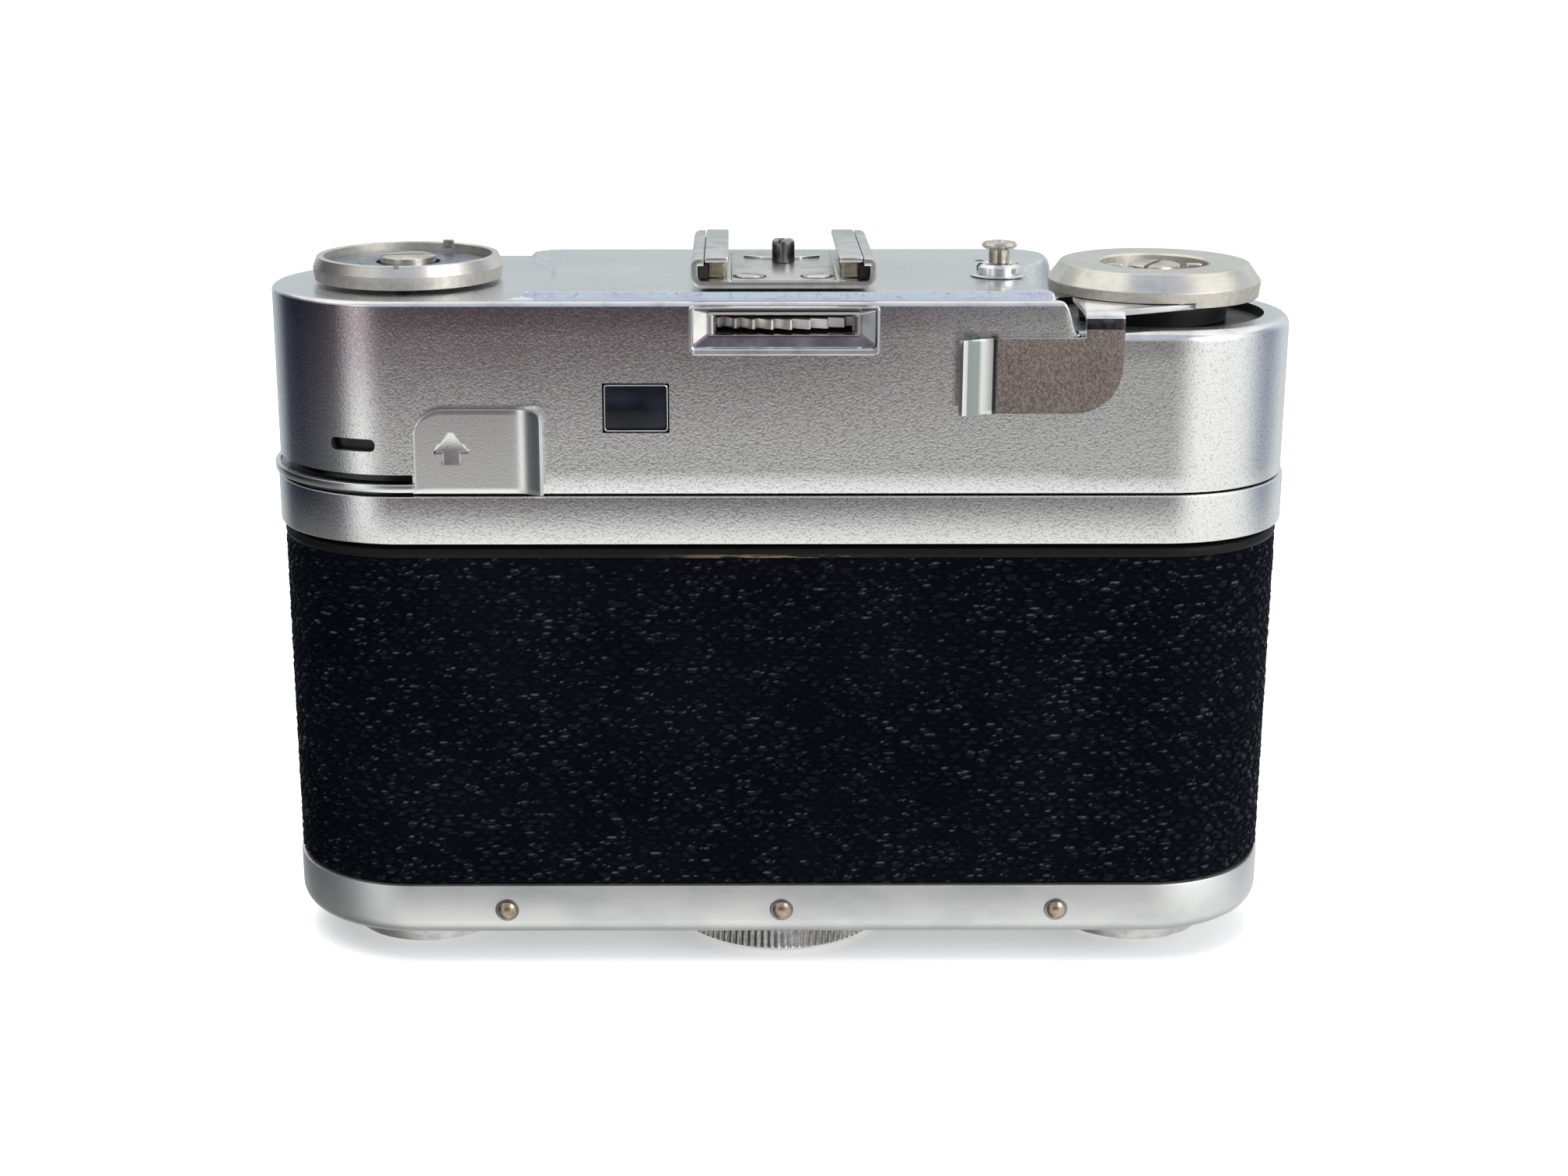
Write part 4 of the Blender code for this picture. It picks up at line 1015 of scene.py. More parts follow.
def build_shells():
    lip = [(13.35, 4.9), (14.05, 4.9), (14.05, 48.4), (14.9, 48.72),
           *fillet([(15.05, 48.75), (15.22, 49.2), (15.1, 49.75), (14.6, 49.98)], 0.3, 3), (13.35, 50.0)]
    wrap_profile_piece("back_shell_lip", lip, 40.0, LIP_BLACK, "back_shell")
    ring = [(14.92, 50.42), *fillet([(15.2, 50.4), (15.62, 50.42), (15.64, 55.85), (15.2, 55.93)], 0.22, 4),
            (14.92, 55.93)]
    piece("top_ring_band", *band_mesh(ring), RING_CHROME, "top_ring", sharp=35)
    inner = HOUSING_R - 0.95
    side = [(HOUSING_R, BASE_TOP - 0.25), *arc((HOUSING_R - 2.2, BASE_LOW + 2.2), 2.2, 0, -90, 9)]
    base = [(0.0, BASE_LOW + 1.1), (inner, BASE_LOW + 1.1), (inner, BASE_TOP), (HOUSING_R - 0.25, BASE_TOP),
            (HOUSING_R - 0.07, BASE_TOP - 0.07), *side, (0.0, BASE_LOW)]
    tray = piece("base_tray", *band_mesh(base, 120, 64, False), ALUMINIUM, "base_plate", sharp=38)
    cutters = [cylinder_tool(6.2, 0, 8, (0, 0), steps=64)]
    boolean(tray, cutters, "DIFFERENCE")
    tray.data.shade_smooth()
    tray.data.set_sharp_from_angle(angle=math.radians(38))


def knurl(count, depth, low, high, fine=1.0):
    """A ripple that cuts upright grooves between two heights."""
    def shape(radius, height, turn):
        rim = radius > 0.85 * radius.max()
        band = (height > low) & (height < high) & rim
        wave = np.abs((turn * count / math.tau) % 1.0 - 0.5) * 2
        return radius - depth * np.where(band, wave ** fine, 0), height
    return shape


def build_base_parts():
    for node, x in (("base_rivet_left", -31.7), ("base_rivet_centre", 0.0), ("base_rivet_right", 31.7)):
        dome = [(0, -16.02), (0.45, -15.98), (0.8, -15.84), (1.02, -15.62), (1.05, -15.42), (0.8, -15.36),
                (0.6, -14.9), (0, -14.9)]
        lathe(node + "_dome", dome, (x, 0, 6.7), WORN_BRASS, node, "Y", 40)
        rim = [(1.02, -15.52), (1.28, -15.48), (1.36, -15.36), (1.3, -15.3), (1.0, -15.3)]
        lathe(node + "_washer", rim, (x, 0, 6.7), DARK_STEEL, None, "Y", 40, ring=True, body="back")
    foot = [(0, 0.0), *fillet([(8.8, 0.0), (9.15, 0.12), (10.0, 2.4), (9.9, 3.0)], 0.3, 3), (0, 3.0)]
    for node, x in (("foot_left", -SPOOL_X), ("foot_right", SPOOL_X)):
        lathe(node + "_disc", foot, (x, 0, 0), FOOT_METAL, node, steps=96)
    wheel = [(4.75, 0.25), (4.95, 0.0), (11.6, 0.0), (12.3, 0.45), (12.38, 0.6), (12.38, 2.4), (12.2, 2.75),
             (11.4, 3.0), (5.75, 3.0), (5.75, 6.35), (4.75, 6.35)]
    lathe("lock_wheel_knurled", wheel, (0, 0, 0), LOCK_METAL, "lock_wheel", steps=96 * 6,
          ripple=knurl(96, 0.28, 0.55, 2.5), ring=True)


# ---------------------------------------------------------------- knobs and levers


def build_rewind():
    x = -SPOOL_X
    rim = [(1.95, 77.7), (10.4, 77.7), (10.5, 77.78), (10.68, 79.18), (10.2, 80.34), (10.12, 80.38),
           (9.55, 80.38), (9.47, 80.3), (9.42, 78.95), (1.95, 78.95)]
    knob = lathe("rewind_knob_body", rim, (x, 0, 0), REWIND_METAL, "rewind_knob", steps=160, ring=True,
                 sharp=14)
    boolean(knob, [box_tool((x - 0.28, -10.9, 79.95), (x + 0.28, -9.3, 80.8))], "DIFFERENCE")
    knob.data.set_sharp_from_angle(angle=math.radians(14))
    disc = [(3.65, 79.22), (8.75, 79.22), (8.78, 79.32), (8.6, 79.5), (5.6, 79.42), (5.5, 79.55),
            (3.9, 79.58), (3.65, 79.5)]
    lathe("reminder_disc", disc, (x, 0, 0), DISC_LOOK, "film_reminder_disc", steps=96, ring=True)
    hub = lathe("rewind_hub_screw", [(0, 80.28), (2.7, 80.28), (3.1, 80.1), (3.18, 79.3), (0, 79.3)],
                (x, 0, 0), NICKEL, "rewind_hub", steps=64)
    boolean(hub, [turned_box((x, 0, 80.2), (7.0, 0.5, 0.9), 14)], "DIFFERENCE")
    tab = rounded_box((x + 3.15, 7.02, 79.92), (x + 4.45, 7.48, 80.98), 0.12)
    finish_piece(tab, "rewind_index_tab", NICKEL, "rewind_tab")


def turned_box(centre, size, angle):
    """A cutter box turned about its own upright axis."""
    size, centre = np.array(size, float), np.array(centre, float)
    return box_tool(centre - size / 2, centre + size / 2, angle)


def build_rewind_release():
    x = -SPOOL_X
    path = [(-40.3, -16.0), (-39.3, -16.02), (-38.0, -16.02), (-34.0, -16.02), (-31.0, -16.02),
            (-29.3, -16.06), (-28.5, -16.2), (-27.7, -16.52), (-27.1, -16.9), (-26.6, -17.3),
            (-26.3, -17.52)]
    start, end = path[0][0], path[-1][0]

    def top(t):
        place = start + (end - start) * t
        inner = max(0.0, -37.1 - place)
        outer = max(0.0, place + 27.7)
        return 65.75 - (3.3 - math.sqrt(max(0.0, 3.3 ** 2 - min(inner, 3.3) ** 2))) - 0.25 * outer ** 2

    dense = resample(path, 40)
    plate = bent_sheet(dense, lambda t: 56.45, top, 0.5, "Z", 16)
    band_profile = [(15.4, 56.4), (15.9, 56.4), (15.95, 56.55), (15.95, 57.15), (15.9, 57.28), (15.4, 57.28)]
    turn = np.radians(np.linspace(151, 277, 70))
    verts = [np.array([(x + r * math.cos(a), r * math.sin(a), z) for a in turn]) for r, z in band_profile]
    faces = grid_faces(len(verts), len(turn), True, False)
    faces.append(tuple(i * len(turn) for i in range(len(verts))))
    faces.append(tuple(i * len(turn) + len(turn) - 1 for i in reversed(range(len(verts)))))
    band = tool(np.concatenate(verts), faces)
    boolean(plate, [band], "UNION")
    arrow = [(x - 1.15, z)
             for x, z in ((-35.9, 59.6), (-34.2, 59.6), (-34.2, 61.1), (-33.2, 61.1), (-35.05, 63.1),
                          (-36.9, 61.1), (-35.9, 61.1))]
    mark = slab_tool(arrow, -16.5, -16.2, "Y")
    boolean(plate, [mark], "DIFFERENCE", "EXACT")
    soften(plate, 0.1, 2, 40)
    finish_piece(plate, "rewind_release_plate", PLATE_CHROME, "rewind_release_lever", 38)
    polished, = more_looks(plate, POLISHED)
    for face in plate.data.polygons:
        if face.center.z / MM > 57.4 and abs(face.normal.z) > 0.35 and face.center.y / MM < -15.6:
            face.material_index = polished
    inner = lathe_mesh([(13.7, 56.4), (15.3, 56.4), (15.3, 57.2), (13.7, 57.2)], (x, 0, 0), steps=96,
                       ring=True)
    ring = tool(*inner)
    boolean(ring, [box_tool((x - 30, -30, 50), (x + 1.0, 8.0, 60))], "INTERSECT")
    finish_piece(ring, "rewind_release_track", DARK_STEEL, None, body="rewind_release_lever")


def resample(path, count):
    """Points evenly spaced along a smooth curve through the path."""
    path = np.array(path, float)
    lengths = np.concatenate([[0], np.cumsum(np.linalg.norm(np.diff(path, axis=0), axis=1))])
    wanted = np.linspace(0, lengths[-1], count)
    flat = np.column_stack([np.interp(wanted, lengths, path[:, 0]), np.interp(wanted, lengths, path[:, 1])])
    for _ in range(3):
        flat[1:-1] = (flat[:-2] + 2 * flat[1:-1] + flat[2:]) / 4
    return flat


def ring_sector(profile, centre, start, end, steps):
    """Part of a turned ring about an upright axis, with its two ends capped."""
    angles = np.radians(np.linspace(start, end, steps))
    rows = [np.array([(centre[0] + r * math.cos(a), centre[1] + r * math.sin(a), z) for a in angles])
            for r, z in profile]
    faces = grid_faces(len(rows), steps, True, False)
    faces.append(tuple(i * steps for i in range(len(rows))))
    faces.append(tuple(i * steps + steps - 1 for i in reversed(range(len(rows)))))
    return tool(np.concatenate(rows), faces)


def build_advance():
    x = SPOOL_X
    body = [(3.45, 77.75), (6.05, 77.75), (6.15, 79.25), (6.4, 79.48), (10.5, 79.49), (10.62, 79.44),
            (11.97, 77.62), (11.99, 77.5), (11.86, 76.5), (11.75, 76.42), (3.45, 76.42)]
    lathe("advance_knob_body", body, (x, 0, 0), ADVANCE_METAL, "advance_knob", steps=160, ring=True,
          sharp=14)
    skirt = ring_sector([(9.0, 75.82), (11.7, 75.82), (11.78, 75.9), (11.86, 76.5), (9.0, 76.6)], (x, 0),
                        -76.5, 196, 130)
    finish_piece(skirt, "advance_knob_skirt", ADVANCE_METAL, None, 30, body="advance")
    hub = [(3.45, 73.3), (8.3, 73.3), (8.4, 75.2), (8.7, 75.3), (8.7, 76.1), (3.45, 76.1)]
    lathe("advance_washer_disc", hub, (x, 0, 0), BLACK, "advance_washer", steps=96, ring=True)
    screw = lathe("advance_screw_head",
                  [(0, 79.28), (2.5, 79.28), (2.9, 79.1), (3.0, 78.8), (2.95, 78.02), (0, 78.02)], (x, 0, 0),
                  NICKEL, "advance_screw", steps=64)
    boolean(screw, [turned_box((x, 0, 79.2), (7.0, 0.55, 0.9), 62)], "DIFFERENCE")
    for side in (-1, 1):
        prong = rounded_box((x + side * 4.5 - 0.85, -0.5, 78.0), (x + side * 4.5 + 0.85, 0.5, 79.2), 0.18)
        finish_piece(prong, "advance_prong_%s" % ("left" if side < 0 else "right"), NICKEL, None,
                     body="advance")
    outline = [(32.45, -5.0), (32.45, -15.0), (36.6, -15.0), (36.75, -14.75), (44.9, -11.0), (44.9, -8.2)]
    outline += arc((x, 0), 8.62, -60, 196, 60)
    hull = slab_tool(outline, 75.68, 76.34, edge=0.06)
    boolean(hull, [cylinder_tool(3.5, 70, 80, (x, 0))], "DIFFERENCE")
    neck_path = fillet([(-14.0, 76.01), (-16.22, 76.01), (-16.3, 73.0)], [0, 1.1, 0], 8)
    neck = bent_sheet(resample(neck_path, 24), lambda t: 32.45, lambda t: 36.6, 0.64, "X", 8)
    boolean(hull, [neck], "UNION")
    path = [(18.95, -17.75), (19.3, -17.45), (19.95, -17.0), (20.8, -16.62), (21.9, -16.34), (23.1, -16.26),
            (26.0, -16.25), (30.0, -16.25), (34.0, -16.25), (36.6, -16.25)]
    start, end = path[0][0], path[-1][0]

    def foot(t):
        place = start + (end - start) * t
        corner = max(0.0, place - (36.6 - 5.0))
        return 65.3 + (5.0 - math.sqrt(max(0.0, 25.0 - min(corner, 5.0) ** 2)))

    thumb = bent_sheet(resample(path, 48), foot, lambda t: 73.5, 0.62, "Z", 18)
    boolean(hull, [thumb], "UNION")
    soften(hull, 0.14, 2, 50)
    finish_piece(hull, "advance_lever_arm", THUMB, "advance_lever", 38)
    polished, neck_painted_shade = more_looks(hull, LEVER_POLISH, NECK_PAINTED_SHADE)
    # The neck's middle faces take near-black metal as painted shade under the arm; the arm's top and the
    # thumb plate's edges take the polished finish.
    for face in hull.data.polygons:
        z = face.center.z / MM
        if z > 75.55 or (face.normal.y > -0.9 and z < 74.4 and face.center.x / MM > 23.2):
            face.material_index = polished
        elif z > 74.45:
            face.material_index = neck_painted_shade


def build_release():
    centre = (RELEASE_X, RELEASE_Y, 0)
    head = [(0, 81.75), (0.62, 81.78), (0.72, 81.92), (1.3, 81.98), (1.8, 81.9), (2.0, 81.62), (1.95, 81.42),
            (1.6, 81.2), (1.2, 81.1), (1.18, 78.9), (1.2, 78.0), (1.2, 71.0), (0, 71.0)]
    lathe("release_button_head", head, centre, BUTTON_METAL, "release_button", steps=64)
    collar = [(1.65, 78.42), (2.48, 78.42), (2.5, 79.2), (2.2, 79.55), (1.85, 79.55), (1.65, 79.3)]
    cup = lathe("release_collar_cup", collar, centre, POLISHED, "release_collar", steps=64, ring=True)
    for side in (-1, 1):
        spot = RELEASE_X + side * 2.3
        boolean(cup, [box_tool((spot - 0.45, RELEASE_Y - 0.7, 78.7), (spot + 0.45, RELEASE_Y + 0.1, 80))],
                "DIFFERENCE")
    base = [(2.5, 78.14), (3.15, 78.16), (3.3, 78.3), (3.1, 78.42), (2.5, 78.44)]
    lathe("release_collar_flange", base, centre, DECK, None, steps=64, ring=True, body="camera_body")


def build_shoe():
    outer, top, floor = 10.05, 81.68, 78.4
    thick = 0.72
    mid = thick / 2
    path = fillet([(-outer + mid + 1.0, top - mid - 0.12), (-outer + mid, top - mid - 0.12),
                   (-outer + mid, floor + mid), (outer - mid, floor + mid), (outer - mid, top - mid - 0.12),
                   (outer - mid - 1.0, top - mid - 0.12)], [0, 0.75, 1.0, 1.0, 0.75, 0], 6)
    channel = bent_sheet(path, lambda t: -13.1, lambda t: 10.9, thick, "Y", 6)
    soften(channel, 0.12, 2, 50)
    for side in (-1, 1):
        edges = sorted((side * 6.0, side * 8.6))
        lip = rounded_box((edges[0], -12.1, 80.98), (edges[1], 10.6, 81.69), 0.22)
        finish_piece(lip, "shoe_lip_%s" % ("left" if side < 0 else "right"), SHOE_METAL, None,
                     body="camera_body")
        riser = rounded_box((side * 6.2 - 0.45, -12.4, 78.95), (side * 6.2 + 0.45, 10.4, 79.22), 0.1)
        finish_piece(riser, "shoe_riser_%s" % ("left" if side < 0 else "right"), SHOE_METAL, None,
                     body="camera_body")
        bow = [(-8.95, 79.42), (-7.0, 79.6), (-3.0, 80.15), (0.5, 80.38), (4.0, 80.15), (8.0, 79.6),
               (8.95, 79.45)]
        spring = bent_sheet(resample(bow, 30), lambda t: side * 7.9 - 1.05, lambda t: side * 7.9 + 1.05,
                            0.22, "X", 3)
        node = "shoe_spring_left" if side < 0 else "shoe_spring_right"
        finish_piece(spring, node + "_leaf", STEEL, node)
        leaf_end = rounded_box((side * 7.3 - 0.9, -10.6, 79.25), (side * 7.3 + 0.9, -9.8, 80.8), 0.12)
        finish_piece(leaf_end, node + "_heel", STEEL, None, body="camera_body")
        # Painted shade: a dark box fills the recess beside each spring where shade falls.
        recess = sorted((side * 8.3, side * 9.28))
        shade = rounded_box((recess[0], -11.6, 79.2), (recess[1], 10.2, 80.8), 0.12)
        finish_piece(shade, node + "_recess", GRIME_AND_SHADE, None, body="camera_body")
    finish_piece(channel, "shoe_channel", SHOE_METAL, "accessory_shoe", 38)
    plate = rounded_box((-5.7, -12.5, 79.05), (5.7, 10.2, 79.24), 0.08)
    finish_piece(plate, "shoe_floor_plate", SHOE_FLOOR, None, body="camera_body")
    pin = lathe("shoe_pin", [(0, 81.86), (1.05, 81.84), (1.26, 81.65), (1.3, 81.3), (1.3, 79.3), (0, 79.3)],
                (0.2, 1.0, 0), PIN_METAL, "shoe_stop_pin", steps=48)
    boolean(pin, [turned_box((0.2, 1.0, 81.9), (4.0, 0.4, 0.9), 70)], "DIFFERENCE")
    for node, x in (("shoe_screw_left", -3.7), ("shoe_screw_right", 3.7)):
        screw = lathe(node + "_head", [(0, 79.52), (1.2, 79.5), (1.55, 79.36), (1.6, 79.28), (0, 79.28)],
                      (x, -9.8, 0), SHOE_METAL, node, steps=48)
        boolean(screw, [turned_box((x, -9.8, 79.5), (3.6, 0.3, 0.3), 30 * (1 if x > 0 else -1))],
                "DIFFERENCE")
        groove = [(1.62, 79.2), (1.85, 79.2), (1.85, 79.27), (1.62, 79.27)]
        lathe(node + "_ring", groove, (x, -9.8, 0), GRIME_AND_SHADE, None, steps=48, ring=True, body="camera_body")
    bow = fillet([(-4.4, 4.6), (-2.2, 3.2), (2.2, 3.2), (4.6, 4.6), (4.2, 5.3), (2.0, 4.0), (-2.0, 4.0),
                  (-4.1, 5.3)], 0.9, 5, True)
    slab("shoe_relief", bow, 79.18, 79.5, POLISHED, None, edge=0.14, body="camera_body")


def build_bezel():
    low, high = 71.72, 77.25
    loops = [
        rounded_loop(10.1, low + 0.35, high - 0.3, 0.5, -15.1),
        rounded_loop(10.25, low + 0.1, high - 0.12, 0.5, -15.7),
        rounded_loop(10.28, low + 0.05, high - 0.1, 0.5, -16.5),
        rounded_loop(10.2, low + 0.10, high - 0.15, 0.45, -17.15),
        rounded_loop(10.08, low + 0.28, high - 0.22, 0.4, -17.36),
        rounded_loop(9.95, low + 0.68, high - 0.3, 0.35, -17.38),
        rounded_loop(9.85, low + 0.84, high - 0.36, 0.35, -17.28),
        rounded_loop(9.75, low + 1.0, high - 0.42, 0.3, -16.95),
        rounded_loop(8.35, 73.72, 76.42, 0.3, -16.3),
        rounded_loop(8.2, 73.82, 76.37, 0.3, -16.46),
        rounded_loop(7.85, 73.9, 76.12, 0.3, -16.46),
        rounded_loop(7.62, 73.98, 76.02, 0.25, -16.25),
        rounded_loop(7.6, 74.0, 76.0, 0.25, -15.1),
    ]
    verts, faces = loft(loops)
    bezel = piece("counter_bezel", verts, faces, BEZEL_CHROME, "thumbwheel_bezel", sharp=30)
    dark, pale, half_shade = more_looks(bezel, BEZEL_PAINTED_SHADE, BEZEL_PAINTED_LIGHT, BEZEL_PAINTED_HALF_SHADE)
    # Painted light: dark copies of the metal for shade on the slopes and inside the slot, a pale copy for
    # the lit left cheek and the slot's upper rim, and a grey copy for the shaded right cheek and lower band.
    for face in bezel.data.polygons:
        x, y, z = np.array(face.center) / MM
        level = abs(face.normal.x) < 0.5
        if level and (72.73 < z < 73.7 or 76.43 < z < 76.82) and y > -16.99 and face.normal.y < -0.2:
            face.material_index = dark
        elif y > -16.3 and abs(z - 75) < 1.1 and abs(x) < 7.7:
            face.material_index = dark
        elif y < -16.2 and (8.2 < -x < 9.9 or 76.0 <= z < 76.43):
            face.material_index = pale
        elif y < -16.2 and (8.2 < x < 9.9 or (level and low + 0.3 < z < low + 0.7)):
            face.material_index = half_shade
    teeth, depth = 46, 1.15

    def saw(radius, height, turn):
        rim = radius > 14.0
        wave = (turn * teeth / math.tau) % 1.0
        drop = np.where(wave < 0.88, 1 - wave / 0.88, (wave - 0.88) / 0.12)
        return np.where(rim, radius - depth * drop, radius), height

    wheel = [(1.6, 74.4), (14.35, 74.4), (14.85, 74.42), (14.98, 74.5), (14.98, 75.5), (14.85, 75.6),
             (13.4, 75.64), (1.6, 75.64)]
    lathe("counter_wheel_teeth", wheel, (0, COUNTER_Y, 0), TOOTH_METAL, "counter_wheel", steps=teeth * 10,
          ripple=saw, ring=True, sharp=25)
    lathe("counter_wheel_hub", [(0, 71.6), (1.45, 71.6), (1.5, 76.1), (0, 76.2)], (0, COUNTER_Y, 0), NICKEL,
          None, steps=32, body="counter_wheel")


def frame_around(name, low, high, depth_low, depth_high, width, look, body="camera_body"):
    """A thin raised frame round a window, in planes of constant y."""
    (x0, z0), (x1, z1) = low, high
    loops = []
    centre = ((x0 + x1) / 2, (z0 + z1) / 2)

    def loop(grow, y, radius):
        points = []
        for cx, cz, start in ((x1 + grow, z0 - grow, 270), (x1 + grow, z1 + grow, 0),
                              (x0 - grow, z1 + grow, 90), (x0 - grow, z0 - grow, 180)):
            sx, sz = (1 if cx > centre[0] else -1), (1 if cz > centre[1] else -1)
            inner = (cx - sx * radius, cz - sz * radius)
            for a in np.radians(np.linspace(start, start + 90, 5)):
                points.append((inner[0] + radius * math.cos(a), y, inner[1] + radius * math.sin(a)))
        return np.array(points)

    bulge = 0.06 if depth_high > depth_low else -0.06
    for grow, y in ((0, depth_low), (0, depth_high - bulge), (0.08, depth_high), (width - 0.1, depth_high),
                    (width, depth_high - bulge), (width, depth_low)):
        loops.append(loop(grow, y, 0.25 + grow))
    piece(name, *loft(loops), look, None, body=body, sharp=30)


def build_windows():
    liner = [(13.75, 58.4), (14.0, 58.4), (14.0, 72.4), (13.75, 72.4)]
    piece("housing_liner", *band_mesh(liner), BLACK, None, body="camera_body")
    frame_around("eyepiece_rim", (-19.45, 63.25), (-12.75, 68.15), -14.9, -15.4, 0.12, POLISHED)
    pane = rounded_box((-19.4, -15.0, 63.3), (-12.8, -14.6, 68.1), 0.1)
    finish_piece(pane, "eyepiece_pane", GLASS, "eyepiece_glass")
    front = PANEL_Y
    frame_around("viewfinder_rim", (-22.4, 61.1), (-9.6, 70.4), front - 0.45, front + 0.25, 0.7, POLISHED)
    frame_around("rangefinder_rim", (12.6, 62.9), (18.4, 68.7), front - 0.45, front + 0.25, 0.6, POLISHED)
    frame_around("counter_window_rim", (-3.1, 74.0), (3.1, 76.0), front - 0.45, front + 0.15, 0.4, POLISHED)
    pane = [(-3.1, 74.0), (3.1, 74.0), (3.1, 76.0), (-3.1, 76.0)]
    slab("counter_window_pane", pane, front - 0.6, front - 0.25, GLASS, None, "Y", 0.05, body="camera_body")
    for name, low, high in (("viewfinder_mask", (-22.5, 61.0), (-9.5, 70.5)),
                            ("rangefinder_mask", (12.5, 62.8), (18.5, 68.8))):
        mask = rounded_box((low[0], front - 2.2, low[1]), (high[0], front - 1.6, high[1]), 0.1)
        finish_piece(mask, name, BLACK, None, body="camera_body")


def build_lens():
    c = (0, 0, LENS_Z)
    mount = [(13.0, 14.7), (22.3, 14.7), (22.48, 14.9), (22.48, 15.6), (22.2, 15.9), (20.2, 16.1),
             (19.6, 16.5), (19.4, 18.2), (13.0, 18.2)]
    lathe("lens_mount_flange", mount, c, LENS_METAL, "lens_mount", "Y", 144, ring=True)
    shutter = [(13.2, 18.7), (21.2, 18.7), (21.9, 19.2), (22.0, 20.0), (22.0, 25.6), (21.7, 26.4),
               (20.8, 26.9), (13.2, 26.9)]
    lathe("shutter_drum", shutter, c, BLACK, "shutter_housing", "Y", 144, ring=True)
    speed = [(13.2, 27.35), (22.2, 27.35), (22.55, 27.7), (22.55, 30.1), (22.2, 30.4), (21.0, 30.45),
             (20.6, 30.2), (13.2, 30.2)]
    lathe("speed_ring_knurled", speed, c, LENS_METAL, "speed_ring", "Y", 132 * 6,
          ripple=knurl(132, 0.22, 27.6, 30.15), ring=True)
    aperture = [(13.2, 30.85), (18.6, 30.85), (18.95, 31.1), (18.95, 32.6), (18.5, 32.95), (13.2, 32.95)]
    lathe("aperture_ring_knurled", aperture, c, BLACK, "aperture_ring", "Y", 96 * 6,
          ripple=knurl(96, 0.18, 31.05, 32.7), ring=True)
    focus = [(13.2, 33.35), (19.9, 33.35), (20.35, 33.7), (20.35, 38.4), (19.9, 38.9), (17.0, 38.95),
             (14.0, 38.6), (13.2, 38.4)]
    lathe("focus_ring_knurled", focus, c, LENS_METAL, "focus_ring", "Y", 60 * 8,
          ripple=knurl(60, 0.45, 33.65, 38.5, 0.6), ring=True)
    barrel = [(9.55, 19.0), (12.2, 19.0), (12.2, 33.0), (12.5, 33.5), (12.55, 40.2), (12.3, 40.55),
              (11.7, 40.55), (11.2, 40.1), (10.3, 38.9), (9.7, 38.5), (9.55, 38.3)]
    lathe("lens_barrel_tube", barrel, c, BLACK, "lens_barrel", "Y", 144, ring=True)
    front = [(0, 38.15), (2.5, 38.08), (5.0, 37.85), (7.2, 37.5), (9.05, 37.0), (9.05, 35.0), (7.0, 34.7),
             (0, 34.6)]
    lathe("front_glass", front, c, LENS_GLASS, "front_element", "Y", 96)
    rear = [(0, 18.9), (8.6, 18.7), (8.75, 17.5), (8.6, 16.4), (5.5, 15.8), (0, 15.65)]
    lathe("rear_glass", rear, c, LENS_GLASS, "rear_element", "Y", 96)
    for name, radius, y, count, wide, body in (("speed_scale", 21.7, 30.2, 24, 0.22, "speed_ring"),
                                               ("focus_scale", 17.5, 38.86, 18, 0.3, "focus_ring")):
        verts, faces = [], []
        for k in range(count):
            a = math.tau * k / count
            long = 0.9 if k % 3 else 1.5
            mark = box_tool((radius - long - 0.3, y - 0.05, -wide / 2),
                            (radius - 0.3, y + (0.16 if body == "speed_ring" else 0.1), wide / 2))
            turn = Matrix.Translation((0, 0, LENS_Z * MM)) @ Matrix.Rotation(a, 4, "Y")
            start = len(verts)
            verts += [tuple((turn @ v.co) / MM) for v in mark.data.vertices]
            faces += [tuple(start + i for i in f.vertices) for f in mark.data.polygons]
            bpy.data.objects.remove(mark, do_unlink=True)
        piece(name + "_marks", verts, faces, BLACK, None, body=body)


LIP_BLACK = lip_look("lip_paint")
LOCK_METAL = turned_metal("lock_metal", (0, 0, 0), (0.62, 0.62, 0.61), (0.26, 0.25, 0.24), side=0.30)
DISC_LOOK = turned_metal("disc_metal", REWIND_CENTRE, (0.30, 0.33, 0.40), (0.14, 0.15, 0.19), roughness=0.3,
                         rings=5.0)
PLATE_CHROME = satin_chrome("plate_chrome", (0.80, 0.81, 0.80), (0.56, 0.54, 0.56), 60.0, 70.0, 0.3, 0.08,
                            0.22, 0.3)
LEVER_POLISH = polished_chrome("lever_polish", (0.90, 0.90, 0.89), 0.24)
# Near-black metal standing for the shade under the advance lever's arm: painted shade.
NECK_PAINTED_SHADE = plain_metal("neck_painted_shade", (0.045, 0.045, 0.05), (0.12, 0.12, 0.13), 0.25, 900)
BUTTON_METAL = plain_metal("button_metal", (0.76, 0.73, 0.67), (0.46, 0.38, 0.30), 0.18, 600)
SHOE_FLOOR = plain_metal("shoe_floor_metal", (0.76, 0.76, 0.74), (0.50, 0.49, 0.46), 0.30, 260)
PIN_METAL = plain_metal("pin_metal", (0.36, 0.36, 0.37), (0.12, 0.12, 0.12), 0.22, 500)
# Dark paint for grime in the screw grooves and for painted shade in the shoe's recesses.
GRIME_AND_SHADE = black_paint("grime_and_painted_shade", 0.6)
BEZEL_CHROME = polished_chrome("bezel_chrome", (0.80, 0.81, 0.82), 0.15)
# Lit and shaded copies of the bezel's metal, used as painted light.
BEZEL_PAINTED_SHADE = plain_metal("bezel_painted_shade", (0.16, 0.13, 0.15), (0.28, 0.25, 0.26), 0.28, 300)
BEZEL_PAINTED_LIGHT = plain_metal("bezel_painted_light", (0.84, 0.84, 0.81), (0.62, 0.62, 0.60), 0.34, 300)
BEZEL_PAINTED_HALF_SHADE = plain_metal("bezel_painted_half_shade", (0.42, 0.44, 0.45), (0.28, 0.28, 0.29), 0.30, 300)
TOOTH_METAL = plain_metal("tooth_metal", (0.70, 0.69, 0.67), (0.50, 0.49, 0.47), 0.40)

